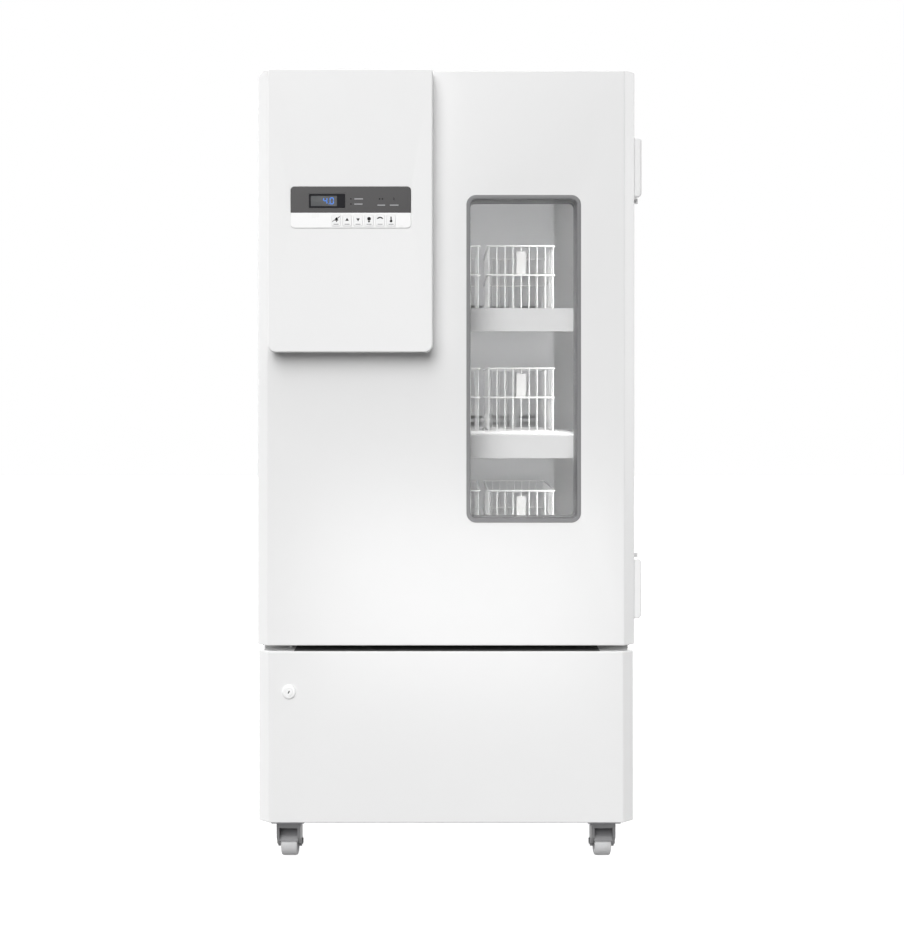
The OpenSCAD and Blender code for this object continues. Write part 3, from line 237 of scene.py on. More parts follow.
GLASS = Finish("pane_glass", (0.3, 0.31, 0.31), 0.04, tone=0.02, relief=0.0, gloss_spread=0.01, alpha=0.03)
LINER = Finish("liner_plastic", (0.68, 0.68, 0.69), 0.45, tone=0.02, relief=0.00006)
DUCT = Finish("duct_plastic", (0.7, 0.7, 0.705), 0.5, tone=0.03, relief=0.00006)
WIRE = Finish("coated_wire", (0.8, 0.8, 0.795), 0.34, tone=0.02, relief=0.00002, coat=0.2, tone_scale=20)
SHELF = Finish("coated_shelf", (0.88, 0.88, 0.88), 0.35, grain=Grain.ORANGE_PEEL, tone=0.02)
CARD = Finish("label_card", (0.62, 0.62, 0.61), 0.6, tone=0.02, relief=0.00002, tone_scale=80)
GASKET = Finish("gasket_rubber", (0.52, 0.52, 0.53), 0.6, grain=Grain.RUBBER, tone=0.04, relief=0.00005)
# Painted shade: near-black colour of the strip on the base top that stands for the shade in the gap under the
# door.
GAP_SHADE = Finish("painted_gap_shade", (0.09, 0.09, 0.091), 0.7, grain=Grain.RUBBER, tone=0.1, dust=0.05)
RUBBER = Finish("black_rubber", (0.025, 0.025, 0.026), 0.7, grain=Grain.RUBBER, tone=0.2, dust=0.15)
STEEL = Finish("bright_steel", (0.62, 0.62, 0.63), 0.28, metallic=1.0, grain=Grain.BRUSHED, relief=0.00002,
               tone=0.06, tone_scale=12)
ZINC = Finish("zinc_plate", (0.6, 0.61, 0.63), 0.36, metallic=1.0, grain=Grain.POLISHED, relief=0.00002,
              tone=0.08, tone_scale=25)
DARK_STEEL = Finish("dark_steel", (0.12, 0.12, 0.125), 0.42, grain=Grain.ORANGE_PEEL, tone=0.08, dust=0.2)
FORK_STEEL = Finish("fork_steel", (0.165, 0.165, 0.172), 0.38, grain=Grain.ORANGE_PEEL, tone=0.1,
                    dust=0.12, tone_scale=15)
TREAD = Finish("wheel_tread", (0.68, 0.68, 0.69), 0.55, grain=Grain.RUBBER, tone=0.06, dust=0.15,
               tone_scale=20)
ENAMEL = Finish("black_enamel", (0.02, 0.02, 0.022), 0.3, grain=Grain.ORANGE_PEEL, tone=0.2, coat=0.3,
                dust=0.12)
COPPER = Finish("copper_tube", (0.72, 0.36, 0.22), 0.3, metallic=1.0, grain=Grain.BRUSHED, relief=0.00002,
                tone=0.12, tone_scale=12, gloss_spread=0.1)
FINS = Finish("aluminium_fins", (0.78, 0.79, 0.8), 0.32, metallic=1.0, grain=Grain.BRUSHED, relief=0.00002,
              tone=0.06, tone_scale=15)
FAN_PLASTIC = Finish("fan_plastic", (0.16, 0.16, 0.165), 0.5, tone=0.06)
BLACK_PLASTIC = Finish("black_plastic", (0.03, 0.03, 0.031), 0.45, tone=0.1)
FOAM = Finish("cast_foam", (0.8, 0.7, 0.42), 0.9, grain=Grain.RUBBER, relief=0.0004, tone=0.08, tone_scale=20)


class Shaper:
    """A mesh under work, shaped with bmesh operators."""

    def __init__(self) -> None:
        """Starts with an empty mesh."""
        self.bm = bmesh.new()

    def box(self, low: Sequence[float], high: Sequence[float]) -> None:
        """Adds a box between its lowest and its highest corner."""
        made = bmesh.ops.create_cube(self.bm, size=1.0)["verts"]
        low, high = Vector(low), Vector(high)
        bmesh.ops.scale(self.bm, vec=high - low, verts=made)
        bmesh.ops.translate(self.bm, vec=(low + high) / 2, verts=made)

    def rod(self, start: Sequence[float], end: Sequence[float], radius: float, sides: int = 32) -> None:
        """Adds a round rod between two points.

        Args:
            start: Middle of the first end.
            end: Middle of the other end.
            radius: Its radius.
            sides: Number of sides.
        """
        start, end = Vector(start), Vector(end)
        turn = (end - start).to_track_quat("Z", "Y").to_matrix().to_4x4()
        bmesh.ops.create_cone(self.bm, cap_ends=True, segments=sides, radius1=radius, radius2=radius,
                              depth=(end - start).length, matrix=Matrix.Translation((start + end) / 2) @ turn)

    def loop(self, points: Sequence[Sequence[float]]) -> list[bmesh.types.BMEdge]:
        """Adds a closed loop of edges through points and returns the edges."""
        verts = [self.bm.verts.new(p) for p in points]
        return [self.bm.edges.new((a, b)) for a, b in zip(verts, verts[1:] + verts[:1])]

    def prism(self, outline: Sequence[Flat], axis: Axis, start: float, end: float) -> None:
        """Pulls a flat outline out along an axis.

        Args:
            outline: Corners in the plane across the axis, in the order of the two other axes.
            axis: The axis.
            start: Where the prism starts on the axis.
            end: Where it ends.
        """
        face = self.bm.faces.new([self.bm.verts.new(lift(p, axis, start)) for p in outline])
        far = only(bmesh.ops.extrude_face_region(self.bm, geom=[face])["geom"], bmesh.types.BMVert)
        bmesh.ops.translate(self.bm, vec=Vector(axis.value) * (end - start), verts=far)
        near = [e.other_vert(v) for v in far for e in v.link_edges]
        faces = list({f for v in far + near for f in v.link_faces})
        bmesh.ops.recalc_face_normals(self.bm, faces=faces)

    def sweep_ring(self, outline: Callable[[float], Sequence[Flat]], profile: Sequence[Flat]) -> None:
        """Extrudes an X-Z outline through the growths and depths of a closed profile.

        Args:
            outline: Gives the outline's points for a growth.
            profile: Pairs of growth and depth along Y.
        """
        ring = [self.bm.verts.new((x, profile[0][1], z)) for x, z in outline(profile[0][0])]
        edges = [self.bm.edges.new(pair) for pair in zip(ring, ring[1:] + ring[:1])]
        for grow, y in [*profile[1:], profile[0]]:
            made = bmesh.ops.extrude_edge_only(self.bm, edges=edges)["geom"]
            fresh = set(only(made, bmesh.types.BMVert))
            ring = [next(e.other_vert(v) for e in v.link_edges if e.other_vert(v) in fresh) for v in ring]
            for vert, (x, z) in zip(ring, outline(grow)):
                vert.co = (x, y, z)
            edges = only(made, bmesh.types.BMEdge)
        self.weld()

    def lathe(self, profile: Sequence[Flat], centre: Sequence[float], axis: Axis, steps: int = 48) -> None:
        """Turns a profile about an axis.

        Args:
            profile: Pairs of radius and place along the axis, from end to end or closed.
            centre: A point on the axis.
            axis: The axis.
            steps: Number of steps in the full turn.
        """
        side = Vector(axis.value).orthogonal().normalized()
        points = [Vector(centre) + side * r + Vector(axis.value) * a for r, a in profile]
        verts = [self.bm.verts.new(p) for p in points]
        edges = [self.bm.edges.new(pair) for pair in zip(verts, verts[1:])]
        bmesh.ops.spin(self.bm, geom=verts + edges, cent=centre, axis=axis.value, angle=math.tau,
                       steps=steps, use_merge=True)
        self.weld()

    def wire(self, path: Sequence[Sequence[float]], radius: float, bend: float, sides: int = 10,
             closed: bool = False) -> None:
        """Runs a round wire along straight legs with round bends.

        Args:
            path: The corners, with the ends first and last.
            radius: Radius of the wire.
            bend: Radius of its bends, at the middle of the wire.
            sides: Number of sides.
            closed: Whether the last corner joins the first.
        """
        pts = [Vector(p) for p in path]
        if closed:
            pts = [(pts[0] + pts[1]) / 2, *pts[1:], pts[0], (pts[0] + pts[1]) / 2]
        heading = (pts[1] - pts[0]).normalized()
        turn = heading.to_track_quat("Z", "Y").to_matrix().to_4x4()
        ring = bmesh.ops.create_circle(self.bm, segments=sides, radius=radius, cap_ends=not closed,
                                       matrix=Matrix.Translation(pts[0]) @ turn)["verts"]
        edges = list({e for v in ring for e in v.link_edges})
        at = pts[0]
        for i, corner in enumerate(pts[1:], 1):
            last = i == len(pts) - 1
            reach = (corner - at).length - (0 if last else bend)
            made = bmesh.ops.extrude_edge_only(self.bm, edges=edges)["geom"]
            bmesh.ops.translate(self.bm, vec=heading * reach, verts=only(made, bmesh.types.BMVert))
            edges = only(made, bmesh.types.BMEdge)
            if last:
                break
            after = (pts[i + 1] - corner).normalized()
            hub = corner - heading * bend + after * bend
            spun = bmesh.ops.spin(self.bm, geom=edges, cent=hub, axis=heading.cross(after),
                                  angle=heading.angle(after), steps=4)["geom_last"]
            edges = only(spun, bmesh.types.BMEdge)
            heading, at = after, corner + after * bend
        if not closed:
            bmesh.ops.edgeloop_fill(self.bm, edges=edges)

    def slice_off(self, point: Sequence[float], normal: Sequence[float]) -> None:
        """Cuts away what lies on the normal's side of a plane, and closes the cut."""
        geom = [*self.bm.verts, *self.bm.edges, *self.bm.faces]
        cut = bmesh.ops.bisect_plane(self.bm, geom=geom, plane_co=point, plane_no=normal, clear_outer=True)
        bmesh.ops.edgeloop_fill(self.bm, edges=only(cut["geom_cut"], bmesh.types.BMEdge))

    def sharp_edges(self) -> list[bmesh.types.BMEdge]:
        """Returns the edges that turn by more than 25 degrees."""
        return [e for e in self.bm.edges if e.is_manifold and e.calc_face_angle(0.0) > math.radians(25)]

    def edges_at(self, depth: float) -> list[bmesh.types.BMEdge]:
        """Returns the edges that lie at a depth along Y."""
        return [e for e in self.bm.edges if all(abs(v.co.y - depth) < 1e-6 for v in e.verts)]

    def soften(self, width: float, segments: int = 3,
               edges: Sequence[bmesh.types.BMEdge] | None = None) -> None:
        """Rounds edges, or all the sharp ones.

        Args:
            width: Width of the rounding.
            segments: Number of its steps.
            edges: The edges, where not all the sharp ones are meant.
        """
        chosen = self.sharp_edges() if edges is None else edges
        bmesh.ops.bevel(self.bm, geom=list(chosen), offset=width, offset_type="OFFSET", segments=segments,
                        profile=0.5, affect="EDGES", clamp_overlap=True, material=-1)

    def pierce(self, facing: Sequence[float], holes: Sequence[Sequence[Sequence[float]]],
               depth: float) -> None:
        """Cuts holes through the largest face that looks one way, and pulls their walls in.

        Args:
            facing: The direction the face looks.
            holes: The points of each hole, on the face.
            depth: How far the walls go in.
        """
        facing = Vector(facing)
        face = max((f for f in self.bm.faces if f.normal.dot(facing) > 0.99), key=lambda f: f.calc_area())
        rim = list(face.edges)
        rings = [self.loop(h) for h in holes]
        bmesh.ops.delete(self.bm, geom=[face], context="FACES_ONLY")
        bmesh.ops.triangle_fill(self.bm, use_beauty=True, edges=rim + [e for r in rings for e in r],
                                normal=facing)
        if depth > 0:
            for ring in rings:
                made = bmesh.ops.extrude_edge_only(self.bm, edges=ring)["geom"]
                bmesh.ops.translate(self.bm, vec=-facing * depth, verts=only(made, bmesh.types.BMVert))

    def open_faces(self, facing: Sequence[float]) -> None:
        """Removes the faces that look one way."""
        gone = [f for f in self.bm.faces if f.normal.dot(Vector(facing)) > 0.99]
        bmesh.ops.delete(self.bm, geom=gone, context="FACES")

    def weld(self) -> None:
        """Merges doubled vertices and turns all the faces outwards."""
        bmesh.ops.remove_doubles(self.bm, verts=self.bm.verts, dist=1e-6)
        bmesh.ops.recalc_face_normals(self.bm, faces=self.bm.faces)

    def piece(self, name: str, finish: Finish | Sequence[Finish], slot: str, body: str = "cabinet",
              replaces: Sequence[str] = (), wall: float = 0.0, crease: float = 35.0) -> bpy.types.Object:
        """Makes the mesh a finished piece of the object.

        Args:
            name: Name of the piece.
            finish: Its finish, or several that its faces' material numbers choose from.
            slot: The record's material slot; not used.
            body: The CAD body it rides on.
            replaces: CAD nodes that it stands for.
            wall: Thickness that an open shell gets on its inside.
            crease: Angle in degrees from which an edge stays crisp.

        Returns:
            The object.
        """
        mesh = bpy.data.meshes.new(name)
        self.bm.to_mesh(mesh)
        self.bm.free()
        mesh.shade_smooth()
        mesh.set_sharp_from_angle(angle=math.radians(crease))
        for each in [finish] if isinstance(finish, Finish) else finish:
            mesh.materials.append(each.material())
        made = bpy.data.objects.new(name, mesh)
        bpy.context.scene.collection.objects.link(made)
        if wall > 0:
            shell = made.modifiers.new("wall", "SOLIDIFY")
            shell.thickness = wall
            shell.offset = -1
            shell.use_even_offset = True
        flow = made.modifiers.new("even_shading", "WEIGHTED_NORMAL")
        flow.keep_sharp = True
        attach(made, body)
        if replaces:
            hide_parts(*replaces)
        LOG.info("%s: %d faces on %s", name, len(mesh.polygons), body)
        return made


def only(geom: Sequence[object], kind: type) -> list:
    """Returns the elements of one kind."""
    return [g for g in geom if isinstance(g, kind)]


def lift(point: Flat, axis: Axis, level: float) -> Point:
    """Puts a flat point into space, at a level on the axis across its plane."""
    u, v = point
    return {Axis.X: (level, u, v), Axis.Y: (u, level, v), Axis.Z: (u, v, level)}[axis]


def round_points(centre: Flat, radius: float, count: int) -> list[Flat]:
    """Gives a circle's points, anticlockwise."""
    turns = (math.tau * i / count for i in range(count))
    return [(centre[0] + radius * math.cos(a), centre[1] + radius * math.sin(a)) for a in turns]


def bolt_hole(radius: float, level: float) -> list[Point]:
    """Gives the outline of a round hole for the lock's bolt.

    Args:
        radius: Radius of the hole.
        level: Height of the face that it goes through.

    Returns:
        The points.
    """
    low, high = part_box("lock_bolt")
    centre = (low[0] + BOLT_RADIUS, high[1] - BOLT_RADIUS)
    return [(x, y, level) for x, y in round_points(centre, radius, 32)]


def rounded(low: Flat, high: Flat, radii: Sequence[float], steps: int = 8) -> list[Flat]:
    """Gives the outline of a rectangle with round corners.

    Args:
        low: Its lowest corner.
        high: Its highest corner.
        radii: Radii of the corners: low left, low right, high right, high left.
        steps: Steps in each corner.

    Returns:
        The points, anticlockwise.
    """
    corners = [(low[0], low[1], 180), (high[0], low[1], 270), (high[0], high[1], 0), (low[0], high[1], 90)]
    points = []
    for (x, z, start), r in zip(corners, radii):
        if r <= 0:
            points.append((x, z))
            continue
        cx = x + r if x == low[0] else x - r
        cz = z + r if z == low[1] else z - r
        for i in range(steps + 1):
            a = math.radians(start + 90 * i / steps)
            points.append((cx + r * math.cos(a), cz + r * math.sin(a)))
    return points


def grown(low: Flat, high: Flat, grow: float, radius: float, steps: int) -> list[Flat]:
    """Gives the outline of a rectangle that is grown on all sides and has equal round corners.

    Args:
        low: Lowest corner of the rectangle before it is grown.
        high: Its highest corner.
        grow: How far each side moves out.
        radius: Radius of the corners.
        steps: Steps in each corner.

    Returns:
        The points, anticlockwise.
    """
    return rounded((low[0] - grow, low[1] - grow), (high[0] + grow, high[1] + grow), [radius] * 4, steps)


def dress(finish: Finish, *nodes: str) -> None:
    """Gives CAD nodes that stay as they are a finish."""
    for name in nodes:
        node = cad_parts[name]
        node.data.materials.clear()
        node.data.materials.append(finish.material())
        LOG.info("%s: the CAD node with %s", name, finish.name)


@dataclass
class Studio:
    """Floor, backdrop, soft lights and the camera at the photograph's viewpoint."""

    distance: float = 3.2
    eye_height: float = 1.0017
    focal_pixels: float = 1516.2
    shift_pixels: Flat = (6.0, -75.0)
    long_side: int = 930
    ambient: float = 0.135
    inner_watts: float = 1.88
    sheen_watts: float = 8.0
    sheen_place: Point = (0.05, -2.15, 0.34)
    sheen_size: Flat = (0.95, 0.62)
    strip_place: Point = (0.322, -0.236, 1.08)
    strip_target: Flat = (0.05, 0.12)
    strip_size: Flat = (0.012, 1.02)

    def camera(self) -> None:
        """Makes the camera."""
        data = bpy.data.cameras.new("camera")
        data.sensor_width = 36.0
        data.lens = self.focal_pixels * data.sensor_width / self.long_side
        data.shift_x, data.shift_y = (s / self.long_side for s in self.shift_pixels)
        made = bpy.data.objects.new("camera", data)
        made.location = (0.0, DOOR_FRONT - self.distance, self.eye_height)
        made.rotation_euler = (math.pi / 2, 0.0, 0.0)
        bpy.context.scene.collection.objects.link(made)
        bpy.context.scene.camera = made

    def light(self, name: str, place: Point, target: Point, size: Flat, watts: float,
              sheen_only: bool = False) -> None:
        """Hangs a soft rectangular light.

        Args:
            name: Name of the light.
            place: Its middle.
            target: The point that it faces.
            size: Its width and height.
            watts: Its power.
            sheen_only: Whether it shows in glossy surfaces alone.
        """
        data = bpy.data.lights.new(name, "AREA")
        data.shape = "RECTANGLE"
        data.size, data.size_y = size
        data.energy = watts
        made = bpy.data.objects.new(name, data)
        made.location = place
        made.rotation_euler = (Vector(target) - Vector(place)).to_track_quat("-Z", "Y").to_euler()
        made.visible_camera = False
        made.visible_diffuse = not sheen_only
        bpy.context.scene.collection.objects.link(made)

    def softbox(self, name: str, azimuth: float, elevation: float, spread: float, strength: float) -> None:
        """Hangs a far softbox, which lights every height alike.

        Args:
            name: Name of the light.
            azimuth: Degrees round from the front, to the right where positive.
            elevation: Degrees above the horizon.
            spread: Angular size in degrees.
            strength: Its strength.
        """
        data = bpy.data.lights.new(name, "SUN")
        data.angle = math.radians(spread)
        data.energy = strength
        a, e = math.radians(azimuth), math.radians(elevation)
        towards = Vector((math.sin(a) * math.cos(e), -math.cos(a) * math.cos(e), math.sin(e)))
        made = bpy.data.objects.new(name, data)
        made.rotation_euler = towards.to_track_quat("Z", "Y").to_euler()
        bpy.context.scene.collection.objects.link(made)

    def surround(self) -> None:
        """Sets a white surround that lights the object less than it shows."""
        world = bpy.data.worlds.new("studio")
        world.use_nodes = True
        nodes, links = world.node_tree.nodes, world.node_tree.links
        nodes["Background"].inputs["Color"].default_value = (1, 1, 1, 1)
        path = nodes.new("ShaderNodeLightPath")
        level = nodes.new("ShaderNodeMapRange")
        level.inputs["To Min"].default_value = self.ambient
        level.inputs["To Max"].default_value = 1.0
        links.new(path.outputs["Is Camera Ray"], level.inputs["Value"])
        links.new(level.outputs["Result"], nodes["Background"].inputs["Strength"])
        bpy.context.scene.world = world

    def floor(self) -> None:
        """Lays the floor, which shows white and hardly lights the object."""
        shaper = Shaper()
        bmesh.ops.create_grid(shaper.bm, x_segments=1, y_segments=1, size=14.0)
        mesh = bpy.data.meshes.new("floor")
        shaper.bm.to_mesh(mesh)
        shaper.bm.free()
        pale = Finish("studio_floor", (0.5, 0.5, 0.5), 0.8, tone=0.002, relief=0.00001, glow=1.8)
        mesh.materials.append(pale.material())
        made = bpy.data.objects.new("floor", mesh)
        made.visible_diffuse = False
        bpy.context.scene.collection.objects.link(made)

    def chamber_strips(self) -> None:
        """Hangs the light strips at both sides of the chamber's mouth."""
        x, y, z = self.strip_place
        across, deep = self.strip_target
        for name, side in (("chamber_left", -1), ("chamber_right", 1)):
            self.light(name, (side * x, y, z), (-side * across, deep, z), self.strip_size, self.inner_watts)

    def build(self) -> None:
        """Sets the whole studio up."""
        self.camera()
        self.floor()
        self.surround()
        bpy.context.scene.view_settings.view_transform = "Standard"
        self.softbox("key", azimuth=-14, elevation=32, spread=50, strength=2.78)
        self.softbox("top", azimuth=-20, elevation=68, spread=40, strength=0.8)
        self.softbox("left_fill", azimuth=-115, elevation=10, spread=40, strength=1.95)
        self.softbox("right_fill", azimuth=95, elevation=10, spread=40, strength=1.3)
        self.light("low_front", self.sheen_place, (self.sheen_place[0], DOOR_FRONT, 0.5), self.sheen_size,
                   self.sheen_watts, sheen_only=True)
        self.softbox("rear_fill", azimuth=180, elevation=15, spread=40, strength=1.5)
        self.chamber_strips()
        LOG.info("studio set up")


@dataclass
class SheetPanel:
    """A folded sheet panel with chamfered upright edges, as the door's skin and the base panel are."""

    half_width: float
    low: float
    high: float
    front: float
    back: float
    chamfer_x: float = 0.0235
    chamfer_y: float = 0.021
    corner: float = 0.0
    fold: float = 0.0022
    sheet: float = 0.0015

    def shape(self) -> Shaper:
        """Returns the closed form, with its folds rounded."""
        shaper = Shaper()
        outline = rounded((-self.half_width, self.low), (self.half_width, self.high),
                          (0, 0, 0, self.corner), steps=14)
        shaper.prism(outline, Axis.Y, self.front, self.back)
        for side in (-1, 1):
            point = (side * (self.half_width - self.chamfer_x), self.front, self.low)
            shaper.slice_off(point, (side * self.chamfer_y, -self.chamfer_x, 0))
        shaper.weld()
        shaper.soften(self.fold)
        return shaper


@dataclass
class Window:
    """Glazed opening in the door: trim, panes, spacer and inner bezel."""

    low: Flat = (0.0515, 0.7305)
    high: Flat = (0.2765, 1.405)
    radius: float = 0.012
    pane_front: float = -0.33775
    back: float = -0.26125
    face: float = 0.0085
    bezel_face: float = 0.009
    proud: float = 0.0015
    soft: float = 0.0012
    tube: float = 0.006
    fit: float = 0.0003
    pane_seat: float = 0.0041

    def outline(self, grow: float) -> list[Flat]:
        """Returns the opening's outline grown by an amount."""
        return grown(self.low, self.high, grow, radius=max(self.radius + grow, 0.0005), steps=10)

    def trim(self) -> None:
        """Builds the moulded trim with a rounded face and a sloped reveal."""
        shaper = Shaper()
        top, seat = DOOR_FRONT - self.proud, DOOR_FRONT - INK
        neck, third = self.tube - self.fit, self.soft / 3
        shaper.sweep_ring(self.outline, [
            (0.0, self.pane_front), (0.0, top + self.soft), (third, top + third), (self.soft, top),
            (self.face - self.soft, top), (self.face - 0.0003, top + 0.0005), (self.face, top + 0.0014),
            (self.face, seat), (neck, seat), (neck, self.back), (self.pane_seat, self.back),
            (self.pane_seat, self.pane_front),
        ])
        shaper.piece("window_trim_moulding", TRIM, "trim_plastic", "door", ["window_trim"])

    def bezel(self) -> None:
        """Builds the frame that covers the liner's edge round the inner pane."""
        shaper = Shaper()
        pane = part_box("inner_glass")[1][1] + 0.0002
        seat, face = DOOR_BACK + 0.00015, DOOR_BACK + self.proud
        inner, outer, soft = -0.0004, self.bezel_face, self.soft / 2
        shaper.sweep_ring(self.outline, [
            (inner, pane), (inner, face - soft), (inner + soft, face), (outer - soft, face),
            (outer, face - soft), (outer, seat), (inner + self.fit, seat), (inner + self.fit, pane),
        ])
        shaper.piece("inner_window_bezel", TRIM, "trim_plastic", "door")

    def build(self) -> None:
        """Builds the trim and the bezel, and dresses the panes."""
        self.trim()
        self.bezel()
        dress(GLASS, "outer_glass", "inner_glass")
        dress(TRIM_DARK, "glass_spacer")


@dataclass
class Door:
    """The insulated door with its skin, liner and gasket."""

    window: Window
    bolt_socket: float = BOLT_RADIUS + 1.5 * MM
    seal_low: Flat = (-0.344, 0.546)
    seal_high: Flat = (0.344, 1.623)
    seal_back: float = -0.24905

    def skin(self) -> None:
        """Builds the painted skin with the window's opening and the hole for the lock's bolt."""
        panel = SheetPanel(half_width=0.4, low=0.462, high=1.676, front=DOOR_FRONT, back=DOOR_BACK,
                           corner=0.018)
        shaper = panel.shape()
        hole = [(x, panel.front, z) for x, z in self.window.outline(self.window.tube)]
        shaper.pierce((0, -1, 0), [hole], 0)
        shaper.pierce((0, 0, -1), [bolt_hole(self.bolt_socket, panel.low)], 0)
        shaper.open_faces((0, 1, 0))
        shaper.piece("door_outer_skin", POWDER, "painted_steel", "door", ["door_skin"], wall=panel.sheet)

    def seal_outline(self, grow: float) -> list[Flat]:
        """Returns the gasket's inner outline grown by an amount."""
        return grown(self.seal_low, self.seal_high, grow, radius=0.002 + grow, steps=6)

    def gasket(self) -> None:
        """Builds the magnetic gasket with its bellows."""
        shaper = Shaper()
        front, back = DOOR_BACK, self.seal_back
        base, crest, waist = (front + share * (back - front) for share in (0.3, 0.45, 0.6))
        shaper.sweep_ring(self.seal_outline, [
            (0.004, front), (0.004, base), (0.0, crest), (0.002, waist), (0.0005, back - 0.001),
            (0.0015, back), (0.0265, back), (0.0278, back - 0.001), (0.026, waist), (0.028, crest),
            (0.024, base), (0.024, front),
        ])
        shaper.piece("magnetic_gasket", GASKET, "gasket_rubber", "door", ["door_gasket"])

    def build(self) -> None:
        """Builds the door."""
        self.skin()
        self.gasket()
        self.window.build()
        dress(LINER, "door_liner")
        dress(FOAM, "door_foam")


@dataclass
class ControlBox:
    """The moulded box on the door, hollow at its lower edge as a grip."""

    low: Flat = (-0.372, 1.08)
    high: Flat = (-0.028, 1.672)
    front: float = -0.38225
    corners: tuple[float, float, float, float] = (0.017, 0.017, 0.005, 0.005)
    wall: float = 0.003
    grip: float = 0.042
    edge: float = 0.0035
    fit: float = 0.0002

    def cover(self, fascia: "Fascia") -> None:
        """Builds the moulded cover round the fascia's opening."""
        shaper = Shaper()
        shaper.prism(rounded(self.low, self.high, self.corners, 10), Axis.Y, self.front, DOOR_FRONT)
        shaper.soften(self.edge, 5, shaper.edges_at(self.front))
        hole = [(x, self.front, z) for x, z in fascia.outline(fascia.fit)]
        shaper.pierce((0, -1, 0), [hole], 0)
        shaper.open_faces((0, 1, 0))
        shaper.open_faces((0, 0, -1))
        shaper.piece("control_box_cover", BOX_PLASTIC, "white_plastic", "door", ["control_box"],
                     wall=self.wall)

    def grip_roof(self) -> None:
        """Builds the roof of the finger space."""
        shaper = Shaper()
        inset, roof = self.wall + self.fit, self.low[1] + self.grip
        shaper.box((self.low[0] + inset, self.front + inset, roof),
                   (self.high[0] - inset, DOOR_FRONT, roof + self.wall))
        shaper.soften(0.0006, 2)
        shaper.piece("grip_roof", BOX_PLASTIC, "white_plastic", "door")

    def build(self, fascia: "Fascia") -> None:
        """Builds the box round a fascia."""
        self.cover(fascia)
        self.grip_roof()


SEGMENTS = {"4": "bcfg", "0": "abcdef"}


